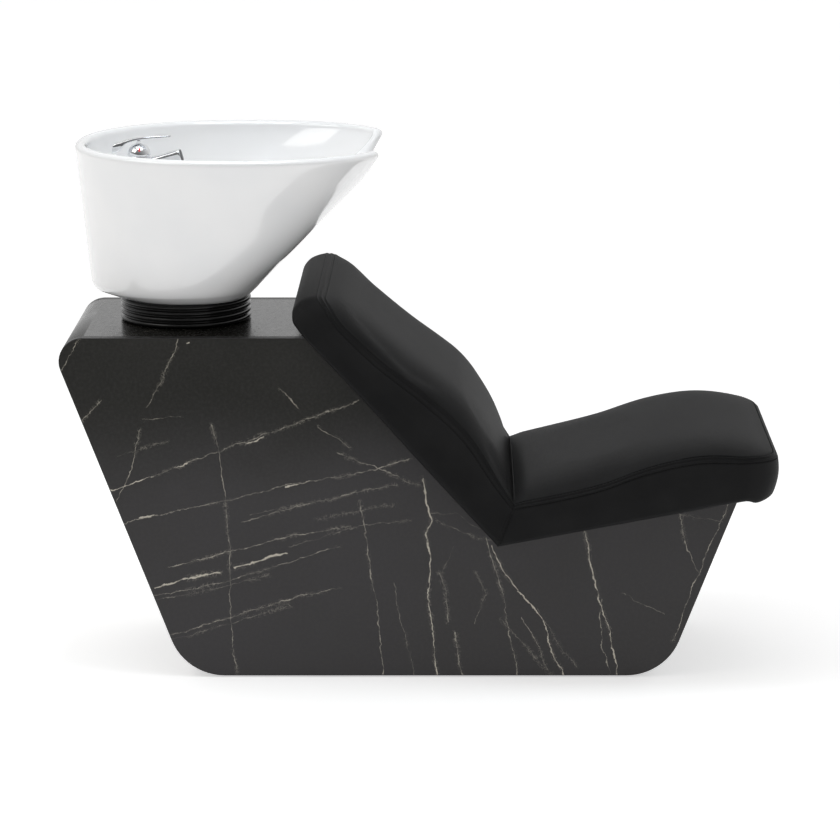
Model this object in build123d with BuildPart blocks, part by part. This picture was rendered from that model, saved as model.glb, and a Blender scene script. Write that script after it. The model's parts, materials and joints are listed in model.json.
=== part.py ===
from build123d import *
from math import cos, hypot, radians, sin, tan
import os

# Shampoo backwash unit, in millimetres.
# +X points from the basin to the sitter's feet, +Y to the sitter's left, +Z up.
# The origin is on the floor, in the middle of the four floor bolts.

# ---- driving dimensions ----
BASE_WIDTH = 400.0
PANEL_THICK = 18.0
BAND_THICK = 1.0
SHELL_THICK = 9.0
FLOOR_GAP = 3.0
TOP_HEIGHT = 639.0
FOOT_RADIUS = 104.0
TOP_RADIUS = 44.0
TUBE = 30.0
TUBE_WALL = 2.0
CUSHION_WIDTH = 570.0
BOARD_THICK = 12.0
BOARD_WIDTH = 440.0

HALF_BASE = BASE_WIDTH / 2
INNER_HALF = HALF_BASE - PANEL_THICK
TUBE_MID_Y = INNER_HALF - TUBE / 2

# Corners of the base's side outline, (x, z), anticlockwise from the rear foot.
REAR_FOOT = (-434.0, FLOOR_GAP)
FRONT_FOOT = (451.0, FLOOR_GAP)
FRONT_TOP = (586.4, 352.0)
VALLEY = (138.0, 268.0)
TOP_FRONT = (-192.0, TOP_HEIGHT)
TOP_REAR = (-674.0, TOP_HEIGHT)

# Ceramic basin.
RIM_HEIGHT = 971.0
SHOULDER_HEIGHT = 704.0
UNDERSIDE_HEIGHT = 684.0
BOWL_FLOOR = 712.0
DECK_HEIGHT = 906.0
DECK_THICK = 13.0
DECK_FRONT_X = -497.0
CERAMIC_WALL = 13.0
NOTCH_HALF_WIDTH = 108.0
NOTCH_DEPTH = 62.0
RIM_CENTRE_X = -343.0
RIM_BACK = 294.0
RIM_FRONT = 283.0
RIM_HALF_WIDTH = 283.0

# Tilting mechanism under the basin.
PIVOT_X = -438.0
PIVOT_Z = 660.0
PIVOT_RADIUS = 6.0
EAR_RADIUS = 12.0
EAR_THICK = 6.0
FIXED_EAR_Y = 70.0
MOVING_EAR_Y = 60.0
RUNNING_GAP = 0.05
BELLOWS_RADIUS = 121.0
TOP_HOLE_RADIUS = 105.0

# Bolts that hold the cushions, the bracket and the ceramic, all the same size.
BOLT_RADIUS = 4.0
BOLT_HOLE = 4.2
BOLT_HEAD = 7.5
THROUGH = 30.0  # deeper than any sheet, plate or shell that a hole goes through

# Mixer on the basin's rear deck.
MIXER_X = -520.0
MIXER_RADIUS = 21.0
DOME_TOP = 966.0
LEVER_PIVOT_Z = 969.0
SPRAY_ANGLE = 15.0
SPRAY_DOCK = (-498.5, 927.2)

PARTS = []


def keep(part, label):
    """Name a finished piece and put it in the list to be written."""
    part.label = label
    PARTS.append(part)


def offset_corners(corners, insets):
    """Move each side of a closed outline inwards by its own distance."""
    lines = []
    count = len(corners)
    for i in range(count):
        (x0, z0), (x1, z1) = corners[i], corners[(i + 1) % count]
        length = hypot(x1 - x0, z1 - z0)
        nx, nz = -(z1 - z0) / length, (x1 - x0) / length
        lines.append((nx, nz, nx * x0 + nz * z0 + insets[i]))
    moved = []
    for i in range(count):
        a, b = lines[i - 1], lines[i]
        det = a[0] * b[1] - a[1] * b[0]
        moved.append(((a[2] * b[1] - a[1] * b[2]) / det, (a[0] * b[2] - a[2] * b[0]) / det))
    return moved


def tangent_points(before, corner, after, radius):
    """Where an arc of the radius, rounding a corner, leaves its two sides."""
    first = Vector(before[0] - corner[0], before[1] - corner[1])
    second = Vector(after[0] - corner[0], after[1] - corner[1])
    reach = radius / tan(radians(first.get_angle(second)) / 2)
    first, second = first.normalized() * reach, second.normalized() * reach
    return (corner[0] + first.X, corner[1] + first.Y), (corner[0] + second.X, corner[1] + second.Y)


OUTLINE = [REAR_FOOT, FRONT_FOOT, FRONT_TOP, VALLEY, TOP_FRONT, TOP_REAR]
# Corner number in the outline and the radius that rounds it.
ROUNDED = ((0, FOOT_RADIUS), (1, FOOT_RADIUS), (5, TOP_RADIUS))


def side_plane(y):
    """Plane at a given Y that faces -Y: sketch x is X, sketch y is Z."""
    return Plane(origin=(0, y, 0), x_dir=(1, 0, 0), z_dir=(0, -1, 0))


def base_outline(inset=0.0):
    """Face of the base's side outline, its feet and rear top corner rounded."""
    corners = offset_corners(OUTLINE, [inset] * len(OUTLINE))
    with BuildSketch(Plane.XY) as face:
        with BuildLine():
            Polyline(*corners, close=True)
        make_face()
        for corner, radius in ROUNDED:
            fillet(face.vertices().sort_by_distance(corners[corner])[0], radius=radius - inset)
    return face.sketch


# ---- cladding ----
outer_face = base_outline()
core_face = base_outline(BAND_THICK)
liner_face = base_outline(SHELL_THICK)

for hand, y in (("right", -HALF_BASE), ("left", INNER_HALF)):
    plane = side_plane(y)
    with BuildPart() as panel:
        with BuildSketch(plane):
            add(core_face)
        extrude(amount=-PANEL_THICK)
    keep(panel.part, "side_panel_" + hand)
    with BuildPart() as band:
        with BuildSketch(plane):
            add(outer_face)
            add(core_face, mode=Mode.SUBTRACT)
        extrude(amount=-PANEL_THICK)
    keep(band.part, "edge_band_" + hand)

# Hinged flap in the rear wall, which reaches the plumbing.
DOOR_WIDTH = 280.0
DOOR_LENGTH = 300.0
DOOR_GAP = 2.0
DOOR_ALONG = 0.55
up_slope = Vector(TOP_REAR[0] - REAR_FOOT[0], 0, TOP_REAR[1] - REAR_FOOT[1])
door_middle = Vector(REAR_FOOT[0], 0, REAR_FOOT[1]) + up_slope * DOOR_ALONG
up_slope = up_slope.normalized()
out_slope = Vector(-up_slope.Z, 0, up_slope.X)
# Sketch on the rear wall's outer face: x across the unit, y up the slope.
WALL = Plane(origin=door_middle, x_dir=(0, -1, 0), z_dir=out_slope)

# Stretches of the outline that the two bent shells cover, as regions in the side view.
REAR_REGION = [(-800, -20), (-350, -20), (-350, 300), (-260, 580), (-260, 630), (-170, 630),
               (-170, 700), (-800, 700)]
FRONT_REGION = [(365, -20), (700, -20), (700, 338), (565, 338), (490, 150), (365, 100)]

with BuildPart() as rear_shell:
    with BuildSketch(side_plane(-INNER_HALF)):
        add(outer_face)
        add(liner_face, mode=Mode.SUBTRACT)
        with BuildLine():
            Polyline(*REAR_REGION, close=True)
        make_face(mode=Mode.INTERSECT)
    extrude(amount=-2 * INNER_HALF)
    with BuildSketch(Plane.XY.offset(TOP_HEIGHT + 1)):
        with Locations((PIVOT_X, 0)):
            Circle(TOP_HOLE_RADIUS)
    extrude(amount=-THROUGH, mode=Mode.SUBTRACT)
    with BuildSketch(WALL.offset(5)):
        Rectangle(DOOR_WIDTH + 2 * DOOR_GAP, DOOR_LENGTH + 2 * DOOR_GAP)
    extrude(amount=-THROUGH, mode=Mode.SUBTRACT)
keep(rear_shell.part, "rear_shell")

with BuildPart() as front_shell:
    with BuildSketch(side_plane(-INNER_HALF)):
        add(outer_face)
        add(liner_face, mode=Mode.SUBTRACT)
        with BuildLine():
            Polyline(*FRONT_REGION, close=True)
        make_face(mode=Mode.INTERSECT)
    extrude(amount=-2 * INNER_HALF)
keep(front_shell.part, "front_shell")

# ---- welded tube frame ----
foot_a = tangent_points(TOP_REAR, REAR_FOOT, FRONT_FOOT, FOOT_RADIUS)
foot_b = tangent_points(REAR_FOOT, FRONT_FOOT, FRONT_TOP, FOOT_RADIUS)
head = tangent_points(TOP_FRONT, TOP_REAR, REAR_FOOT, TOP_RADIUS)
FRAME_OUTLINE = [foot_a[1], foot_b[0], foot_b[1], FRONT_TOP, VALLEY, TOP_FRONT, head[0], head[1],
                 foot_a[0]]
# The frame stands inside the shell, but meets the cushions' boards directly.
CLAD = SHELL_THICK
FRAME_INSETS = [CLAD, CLAD, CLAD, 0.0, 0.0, CLAD, CLAD, CLAD, CLAD]
frame_rings = [offset_corners(FRAME_OUTLINE, [gap + depth for gap in FRAME_INSETS])
               for depth in (0.0, TUBE, TUBE_WALL, TUBE - TUBE_WALL)]
RAILS = {
    "bottom_rails": [0],
    "front_posts": [2],
    "seat_rails": [3],
    "back_rails": [4],
    "top_rails": [5],
    "rear_posts": [7],
    "corner_tubes": [1, 6, 8],
}


def quad(near, far, i):
    """Face between side i of two nested outlines."""
    j = (i + 1) % len(near)
    with BuildSketch(Plane.XY) as face:
        with BuildLine():
            Polyline(near[i], near[j], far[j], far[i], close=True)
        make_face()
    return face.sketch


def rail_direction(i):
    """Middle of frame side i's tube and the unit vectors along and out of it."""
    j = (i + 1) % len(FRAME_OUTLINE)
    corners = [frame_rings[0][i], frame_rings[0][j], frame_rings[1][j], frame_rings[1][i]]
    middle = Vector(sum(c[0] for c in corners) / 4, 0, sum(c[1] for c in corners) / 4)
    along = Vector(corners[1][0] - corners[0][0], 0, corners[1][1] - corners[0][1]).normalized()
    return middle, along, Vector(along.Z, 0, -along.X)


BOLT_ALONG = (-150.0, 150.0)
CUSHION_SIDES = {"seat": 3, "back": 4}
bolt_planes = []
for side in CUSHION_SIDES.values():
    middle, along, out = rail_direction(side)
    for shift in BOLT_ALONG:
        for y in (-TUBE_MID_Y, TUBE_MID_Y):
            point = middle + along * shift + out * (-TUBE / 2) + Vector(0, y, 0)
            bolt_planes.append((side, Plane(origin=point, x_dir=(0, 1, 0), z_dir=out)))

for name, sides in RAILS.items():
    with BuildPart() as rails:
        for i in sides:
            for y in (-TUBE_MID_Y, TUBE_MID_Y):
                with BuildSketch(side_plane(y)):
                    add(quad(frame_rings[0], frame_rings[1], i))
                extrude(amount=TUBE / 2, both=True)
        for i in sides:
            for y in (-TUBE_MID_Y, TUBE_MID_Y):
                with BuildSketch(side_plane(y)):
                    add(quad(frame_rings[2], frame_rings[3], i))
                extrude(amount=TUBE / 2 - TUBE_WALL, both=True, mode=Mode.SUBTRACT)
        for side, plane in bolt_planes:
            if side in sides:
                with BuildSketch(plane.offset(-1)):
                    Circle(BOLT_HOLE)
                extrude(amount=TUBE + 2, mode=Mode.SUBTRACT)
    keep(rails.part, name)

# Square tubes that tie the two side frames together.
CROSS_PLACES = [(0, -230.0), (0, 230.0), (2, 60.0), (3, 160.0), (4, -120.0), (4, 170.0), (7, 230.0)]
SPAN = 2 * (TUBE_MID_Y - TUBE / 2)
with BuildPart() as cross_tubes:
    for i, shift in CROSS_PLACES:
        middle, along, out = rail_direction(i)
        plane = Plane(origin=middle + along * shift - Vector(0, SPAN / 2, 0), x_dir=along,
                      z_dir=(0, 1, 0))
        with BuildSketch(plane):
            Rectangle(TUBE, TUBE)
            Rectangle(TUBE - 2 * TUBE_WALL, TUBE - 2 * TUBE_WALL, mode=Mode.SUBTRACT)
        extrude(amount=SPAN)
keep(cross_tubes.part, "cross_tubes")

# Floor brackets, each with one hole for a floor bolt.
BOLT_X = 300.0
FLOOR_BOLT_Y = 130.0
FLOOR_HOLE_RADIUS = 5.5
BRACKET_THICK = 5.0
BRACKET_WIDTH = 50.0
BRACKET_RISE = 40.0
FLANGE = INNER_HALF - TUBE - 108.0
with BuildPart() as floor_brackets:
    for x in (-BOLT_X, BOLT_X):
        for hand in (-1, 1):
            wall_y = hand * (INNER_HALF - TUBE)
            with BuildSketch(Plane.XY):
                with Locations((x, wall_y - hand * FLANGE / 2)):
                    Rectangle(BRACKET_WIDTH, FLANGE)
            extrude(amount=BRACKET_THICK)
            with BuildSketch(Plane.XY):
                with Locations((x, wall_y - hand * BRACKET_THICK / 2)):
                    Rectangle(BRACKET_WIDTH, BRACKET_THICK)
            extrude(amount=BRACKET_RISE)
            with Locations((x, hand * FLOOR_BOLT_Y, BRACKET_THICK)):
                Hole(FLOOR_HOLE_RADIUS, depth=BRACKET_THICK)
keep(floor_brackets.part, "floor_brackets")

GLIDE_X = 325.0
GLIDE_RADIUS = 13.0
GLIDE_THICK = 8.0
GLIDE_STEM_RADIUS = 5.0
RAIL_BOTTOM = FLOOR_GAP + SHELL_THICK
with BuildPart() as floor_glides:
    for x in (-GLIDE_X, GLIDE_X):
        for y in (-TUBE_MID_Y, TUBE_MID_Y):
            with BuildSketch(Plane.XY):
                with Locations((x, y)):
                    Circle(GLIDE_RADIUS)
            extrude(amount=GLIDE_THICK)
            with BuildSketch(Plane.XY):
                with Locations((x, y)):
                    Circle(GLIDE_STEM_RADIUS)
            extrude(amount=RAIL_BOTTOM)
keep(floor_glides.part, "floor_glides")

# Wood screws from the tubes into the panels, in pairs along the side frames.
SCREW_HEAD_RADIUS = 5.0
SCREW_HEAD_THICK = 3.0
SCREW_PLACES = [(0, -300.0), (0, 100.0), (0, 300.0), (2, 0.0), (3, 0.0), (4, 60.0), (5, 0.0), (7, 0.0)]
with BuildPart() as panel_screws:
    for i, shift in SCREW_PLACES:
        middle, along, out = rail_direction(i)
        point = middle + along * shift
        for hand in (-1, 1):
            tube_skin = Plane(origin=(point.X, hand * (INNER_HALF - TUBE_WALL), point.Z),
                              x_dir=(1, 0, 0), z_dir=(0, -hand, 0))
            with BuildSketch(tube_skin):
                Circle(SCREW_HEAD_RADIUS)
            extrude(amount=SCREW_HEAD_THICK)
keep(panel_screws.part, "panel_screws")

# ---- cushions ----
def profile_face(points, curve):
    """Closed face whose last side is a smooth curve through the given points."""
    with BuildSketch(Plane.XY) as face:
        with BuildLine():
            Polyline(*points)
            Spline(points[-1], *curve, points[0])
        make_face()
    return face.sketch


def board_plane(side, gap=0.0):
    """Plane on the face of a cushion's board that meets the frame."""
    middle, along, out = rail_direction(side)
    return Plane(origin=middle + out * (TUBE / 2 + gap), x_dir=(0, 1, 0), z_dir=out)


BACK_REAR = [(168.0, 346.0), (139.0, 269.0), (-213.0, 664.5), (-227.0, 686.0), (-226.0, 710.0),
             (-206.0, 734.0), (-180.0, 742.0)]
BACK_FRONT = [(-150.0, 712.0), (-108.0, 657.0), (-30.0, 592.0), (50.0, 528.0), (105.0, 465.0),
              (142.0, 402.0)]
SEAT_UNDER = [(168.8, 346.0), (139.8, 268.4), FRONT_TOP, (616.0, 350.0), (637.0, 354.0),
              (648.0, 374.0), (654.0, 418.0), (640.0, 437.0)]
SEAT_TOP = [(590.0, 442.0), (525.0, 446.0), (440.0, 432.0), (350.0, 399.0), (255.0, 372.0)]
BOARD_LENGTHS = {"back": 440.0, "seat": 380.0}
CUSHION_FACES = {"back": (BACK_REAR, BACK_FRONT), "seat": (SEAT_UNDER, SEAT_TOP)}
BOARD_CLEARANCE = 0.5

for name, (straight, curve) in CUSHION_FACES.items():
    side = CUSHION_SIDES[name]
    with BuildPart() as cushion:
        with BuildSketch(side_plane(0)):
            add(profile_face(straight, curve))
        extrude(amount=CUSHION_WIDTH / 2, both=True)
        with BuildSketch(board_plane(side, -1.0)):
            Rectangle(BOARD_WIDTH, BOARD_LENGTHS[name])
        extrude(amount=BOARD_THICK + 1.0, mode=Mode.SUBTRACT)
    keep(cushion.part, name + "_cushion")
    with BuildPart() as board:
        with BuildSketch(board_plane(side, 0.1)):
            Rectangle(BOARD_WIDTH - 2 * BOARD_CLEARANCE, BOARD_LENGTHS[name] - 2 * BOARD_CLEARANCE)
        extrude(amount=BOARD_THICK - BOARD_CLEARANCE - 0.1)
        for bolt_side, plane in bolt_planes:
            if bolt_side == side:
                with BuildSketch(plane):
                    Circle(BOLT_HOLE)
                extrude(amount=TUBE + THROUGH, mode=Mode.SUBTRACT)
    keep(board.part, name + "_board")

BOLT_HEAD_THICK = 5.0
with BuildPart() as cushion_bolts:
    for side, plane in bolt_planes:
        with BuildSketch(plane.offset(-BOLT_HEAD_THICK)):
            RegularPolygon(BOLT_HEAD, 6)
        extrude(amount=BOLT_HEAD_THICK)
        with BuildSketch(plane):
            Circle(BOLT_RADIUS)
        extrude(amount=TUBE + BOARD_THICK - 2.0)
keep(cushion_bolts.part, "cushion_bolts")

# ---- rear flap ----
HINGE_LENGTH = 240.0
HINGE_PIN = 1.5
KNUCKLE = 3.0
LEAF_THICK = 1.2
LEAF_WIDTH = 22.0
LEAF_START = 3.2  # from the hinge line to the leaf's plate
KNUCKLES = 5
KNUCKLE_GAP = 0.6
KNUCKLE_STEP = HINGE_LENGTH / KNUCKLES
TONGUE = 4.4
HINGE_Y = DOOR_LENGTH / 2 + DOOR_GAP / 2
hinge_centre = WALL.from_local_coords((0, HINGE_Y, KNUCKLE))
HINGE_AXIS = Plane(origin=hinge_centre, x_dir=up_slope, z_dir=(0, 1, 0))

with BuildPart() as service_door:
    with BuildSketch(WALL):
        RectangleRounded(DOOR_WIDTH, DOOR_LENGTH, 3)
    extrude(amount=-SHELL_THICK)
keep(service_door.part, "service_door")


def hinge_leaf(turn, own):
    """One leaf of the flap's hinge; own says which knuckles are its."""
    with BuildPart() as leaf:
        with BuildSketch(WALL):
            with Locations((0, HINGE_Y + turn * (LEAF_WIDTH / 2 + LEAF_START))):
                Rectangle(HINGE_LENGTH, LEAF_WIDTH - 1.0)
        extrude(amount=LEAF_THICK)
        for k in range(KNUCKLES):
            if k % 2 == own:
                start = -HINGE_LENGTH / 2 + k * KNUCKLE_STEP + KNUCKLE_GAP / 2
                length = KNUCKLE_STEP - KNUCKLE_GAP
                with BuildSketch(HINGE_AXIS.offset(start)):
                    Circle(KNUCKLE - RUNNING_GAP)
                extrude(amount=length)
                # Tongue that joins the knuckle to the leaf's plate.
                with BuildSketch(WALL):
                    with Locations((start + length / 2, HINGE_Y + turn * TONGUE / 2)):
                        Rectangle(length, TONGUE)
                extrude(amount=LEAF_THICK)
        with BuildSketch(HINGE_AXIS.offset(-HINGE_LENGTH / 2)):
            Circle(HINGE_PIN + (RUNNING_GAP if own else 0.0))
        extrude(amount=HINGE_LENGTH, mode=Mode.SUBTRACT)
    return leaf.part


keep(hinge_leaf(1, 0), "hinge_leaf_wall")
keep(hinge_leaf(-1, 1), "hinge_leaf_door")

with BuildPart() as hinge_pin:
    with BuildSketch(HINGE_AXIS.offset(-HINGE_LENGTH / 2)):
        Circle(HINGE_PIN)
    extrude(amount=HINGE_LENGTH)
keep(hinge_pin.part, "hinge_pin")

PULL_Y = -DOOR_LENGTH / 2 + 30.0
PULL_NECK_LENGTH = 10.0
with BuildPart() as door_pull:
    with BuildSketch(WALL):
        with Locations((0, PULL_Y)):
            Circle(6.0)
    extrude(amount=PULL_NECK_LENGTH)
    with BuildSketch(WALL.offset(PULL_NECK_LENGTH)):
        with Locations((0, PULL_Y)):
            Circle(11.0)
    extrude(amount=6.0)
    fillet(door_pull.faces().sort_by(SortBy.AREA)[-1].edges(), radius=2.0)
keep(door_pull.part, "door_pull")

# Strip behind the flap's lower edge that it closes against, with a magnet let in.
STOP_WIDTH = DOOR_WIDTH - 30.0
STOP_REBATE = 0.3
MAGNET_SIZE = (40.0, 10.0)
MAGNET_THICK = 4.7
magnet_place = (0, -DOOR_LENGTH / 2 + 5)
with BuildPart() as door_stop:
    with BuildSketch(WALL.offset(-SHELL_THICK)):
        with Locations((0, -DOOR_LENGTH / 2 - 6)):
            Rectangle(STOP_WIDTH, 36)
    extrude(amount=-10.0)
    with BuildSketch(WALL.offset(-SHELL_THICK)):
        with Locations((0, -DOOR_LENGTH / 2 + 6)):
            Rectangle(DOOR_WIDTH, 16)
    extrude(amount=-STOP_REBATE, mode=Mode.SUBTRACT)
    with BuildSketch(WALL.offset(-SHELL_THICK)):
        with Locations(magnet_place):
            Rectangle(MAGNET_SIZE[0] + 1, MAGNET_SIZE[1] + 1)
    extrude(amount=-STOP_REBATE - MAGNET_THICK - 0.3, mode=Mode.SUBTRACT)
keep(door_stop.part, "door_stop")

with BuildPart() as catch_magnet:
    with BuildSketch(WALL.offset(-SHELL_THICK - STOP_REBATE - 0.2)):
        with Locations(magnet_place):
            Rectangle(*MAGNET_SIZE)
    extrude(amount=-MAGNET_THICK)
keep(catch_magnet.part, "catch_magnet")

# ---- basin support and tilting bracket ----
PLATE_THICK = 8.0
PLATE_LENGTH = 240.0
PLATE_TOP = TOP_HEIGHT - SHELL_THICK
PASSAGE_RADIUS = 46.0
BRACKET_PLATE = 6.0
BRACKET_LENGTH = 100.0
EAR_SPREAD = 40.0
BUSH_RADIUS = PIVOT_RADIUS + 2.0
BRACKET_BOLTS = [(x, y) for x in (-34, 34) for y in (-56, 56)]
with BuildPart() as basin_plate:
    with BuildSketch(Plane.XY.offset(PLATE_TOP - PLATE_THICK)):
        with Locations((PIVOT_X, 0)):
            Rectangle(PLATE_LENGTH, SPAN)
            Circle(PASSAGE_RADIUS, mode=Mode.SUBTRACT)
            with Locations(*BRACKET_BOLTS):
                Circle(BOLT_HOLE, mode=Mode.SUBTRACT)
    extrude(amount=PLATE_THICK)
keep(basin_plate.part, "basin_plate")

with BuildPart() as tilt_bracket:
    with BuildSketch(Plane.XY.offset(PLATE_TOP)):
        with Locations((PIVOT_X, 0)):
            RectangleRounded(BRACKET_LENGTH, 2 * (FIXED_EAR_Y + EAR_THICK), 6)
            Circle(PASSAGE_RADIUS, mode=Mode.SUBTRACT)
            with Locations(*BRACKET_BOLTS):
                Circle(BOLT_HOLE, mode=Mode.SUBTRACT)
    extrude(amount=BRACKET_PLATE)
    for y in (-FIXED_EAR_Y, FIXED_EAR_Y + EAR_THICK):
        with BuildSketch(side_plane(y)):
            with Locations((PIVOT_X, PIVOT_Z)):
                Circle(EAR_RADIUS)
            with BuildLine():
                Polyline((PIVOT_X - EAR_SPREAD, PLATE_TOP + 1), (PIVOT_X + EAR_SPREAD, PLATE_TOP + 1),
                         (PIVOT_X + EAR_SPREAD, PLATE_TOP + 8), (PIVOT_X + EAR_RADIUS, PIVOT_Z),
                         (PIVOT_X - EAR_RADIUS, PIVOT_Z), (PIVOT_X - EAR_SPREAD, PLATE_TOP + 8),
                         close=True)
            make_face()
            with Locations((PIVOT_X, PIVOT_Z)):
                Circle(BUSH_RADIUS, mode=Mode.SUBTRACT)
        extrude(amount=EAR_THICK)
keep(tilt_bracket.part, "tilt_bracket")

with BuildPart() as pivot_bushes:
    for y in (-FIXED_EAR_Y, FIXED_EAR_Y + EAR_THICK):
        with BuildSketch(side_plane(y)):
            with Locations((PIVOT_X, PIVOT_Z)):
                Circle(BUSH_RADIUS)
                Circle(PIVOT_RADIUS + RUNNING_GAP, mode=Mode.SUBTRACT)
        extrude(amount=EAR_THICK)
keep(pivot_bushes.part, "pivot_bushes")

NUT_THICK = 6.0
with BuildPart() as bracket_bolts:
    for x, y in BRACKET_BOLTS:
        with BuildSketch(Plane.XY.offset(PLATE_TOP - PLATE_THICK - NUT_THICK)):
            with Locations((PIVOT_X + x, y)):
                RegularPolygon(BOLT_HEAD, 6)
        extrude(amount=NUT_THICK)
        with BuildSketch(Plane.XY.offset(PLATE_TOP - PLATE_THICK)):
            with Locations((PIVOT_X + x, y)):
                Circle(BOLT_RADIUS)
        extrude(amount=PLATE_THICK + BRACKET_PLATE)
        with BuildSketch(Plane.XY.offset(PLATE_TOP + BRACKET_PLATE)):
            with Locations((PIVOT_X + x, y)):
                Circle(6.5)
        extrude(amount=4.0)
keep(bracket_bolts.part, "bracket_bolts")

# Carrier under the ceramic: a round plate with two ears inside the fixed ones.
GASKET_THICK = 3.0
CARRIER_THICK = 6.0
CARRIER_TOP = UNDERSIDE_HEIGHT - GASKET_THICK
CARRIER_RADIUS = 90.0
WASTE_HOLE = 36.0
CARRIER_BOLTS = [(x, y) for x in (-58, 58) for y in (-40, 40)]
CARRIER_HEAD_THICK = 4.0
CARRIER_BOLT_LENGTH = 22.0
CARRIER_BOLT_REACH = CARRIER_BOLT_LENGTH - CARRIER_THICK  # above the carrier's top
with BuildPart() as tilt_carrier:
    with BuildSketch(Plane.XY.offset(CARRIER_TOP)):
        with Locations((PIVOT_X, 0)):
            Circle(CARRIER_RADIUS)
            Circle(WASTE_HOLE, mode=Mode.SUBTRACT)
            with Locations(*CARRIER_BOLTS):
                Circle(BOLT_HOLE, mode=Mode.SUBTRACT)
    extrude(amount=-CARRIER_THICK)
    for y in (-MOVING_EAR_Y, MOVING_EAR_Y + EAR_THICK):
        with BuildSketch(side_plane(y)):
            with Locations((PIVOT_X, PIVOT_Z)):
                Circle(EAR_RADIUS)
            with Locations((PIVOT_X, (PIVOT_Z + CARRIER_TOP - 1) / 2)):
                Rectangle(2 * EAR_RADIUS, CARRIER_TOP - 1 - PIVOT_Z)
            with Locations((PIVOT_X, PIVOT_Z)):
                Circle(PIVOT_RADIUS, mode=Mode.SUBTRACT)
        extrude(amount=EAR_THICK)
keep(tilt_carrier.part, "tilt_carrier")

with BuildPart() as carrier_gasket:
    with BuildSketch(Plane.XY.offset(CARRIER_TOP)):
        with Locations((PIVOT_X, 0)):
            Circle(CARRIER_RADIUS)
            Circle(WASTE_HOLE + 1, mode=Mode.SUBTRACT)
            with Locations(*CARRIER_BOLTS):
                Circle(4.5, mode=Mode.SUBTRACT)
    extrude(amount=GASKET_THICK)
keep(carrier_gasket.part, "carrier_gasket")

with BuildPart() as carrier_bolts:
    for x, y in CARRIER_BOLTS:
        with BuildSketch(Plane.XY.offset(CARRIER_TOP - CARRIER_THICK - CARRIER_HEAD_THICK)):
            with Locations((PIVOT_X + x, y)):
                RegularPolygon(7.0, 6)
        extrude(amount=CARRIER_HEAD_THICK)
        with BuildSketch(Plane.XY.offset(CARRIER_TOP - CARRIER_THICK)):
            with Locations((PIVOT_X + x, y)):
                Circle(BOLT_RADIUS)
        extrude(amount=CARRIER_BOLT_LENGTH)
keep(carrier_bolts.part, "carrier_bolts")

# Two shoulder pins: each is held in a carrier ear and turns in a bush.
PIN_FROM = MOVING_EAR_Y - 2.0
PIN_TO = FIXED_EAR_Y + EAR_THICK + 1.0
with BuildPart() as pivot_pins:
    for hand in (-1, 1):
        outwards = Plane(origin=(PIVOT_X, hand * PIN_FROM, PIVOT_Z), x_dir=(1, 0, 0),
                         z_dir=(0, hand, 0))
        with BuildSketch(outwards):
            Circle(PIVOT_RADIUS)
        extrude(amount=PIN_TO - PIN_FROM)
        with BuildSketch(outwards):
            RegularPolygon(9.0, 6)
        extrude(amount=-5.0)
        with BuildSketch(outwards.offset(PIN_TO - PIN_FROM)):
            Circle(10.0)
        extrude(amount=5.0)
        with BuildSketch(outwards):
            Circle(9.0)
        extrude(amount=2.0)
keep(pivot_pins.part, "pivot_pins")

# Dished friction washers between the ears, which hold the basin where it is set.
with BuildPart() as friction_washers:
    for hand in (-1, 1):
        start = MOVING_EAR_Y + EAR_THICK + 0.1
        outwards = Plane(origin=(PIVOT_X, hand * start, PIVOT_Z), x_dir=(1, 0, 0),
                         z_dir=(0, hand, 0))
        with BuildSketch(outwards):
            Circle(EAR_RADIUS - 1)
            Circle(PIVOT_RADIUS, mode=Mode.SUBTRACT)
        extrude(amount=FIXED_EAR_Y - start - 0.2)
keep(friction_washers.part, "friction_washers")

# ---- ceramic basin ----
def egg(plane_z, centre, back, front, half_width, squareness=2.5, count=18):
    """Closed plan outline at a height: round behind, squarer towards the neck."""
    points = []
    for k in range(2 * count):
        angle = radians(180.0 * k / count)
        reach = front if cos(angle) > 0 else back
        power = 2.0 / (squareness if cos(angle) > 0 else 2.1)
        x = centre + reach * abs(cos(angle)) ** power * (1 if cos(angle) > 0 else -1)
        y = half_width * abs(sin(angle)) ** power * (1 if sin(angle) > 0 else -1)
        points.append((x, y))
    with BuildSketch(Plane.XY.offset(plane_z)) as outline:
        with BuildLine():
            Spline(*points, periodic=True)
        make_face()
    return outline.sketch


RIM = (RIM_CENTRE_X, RIM_BACK, RIM_FRONT, RIM_HALF_WIDTH)
SHOULDER = (-457.0, 155.0, 156.0, 152.0)
FOOT_DISC = (PIVOT_X, 118.0, 118.0, 118.0)
NECK_EXTRA = 20.0
NECK_DROP = 38.0
FLOOR_INSET = 14.0


def outside_at(height, inset=0.0, neck=0.0):
    """Centre, back, front and half width of the outer wall at a height, moved inwards."""
    share = (height - SHOULDER_HEIGHT) / (RIM_HEIGHT - SHOULDER_HEIGHT)
    centre, back, front, half = (low + share * (high - low) for low, high in zip(SHOULDER, RIM))
    return centre, back - inset, front - inset - neck, half - inset


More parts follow.
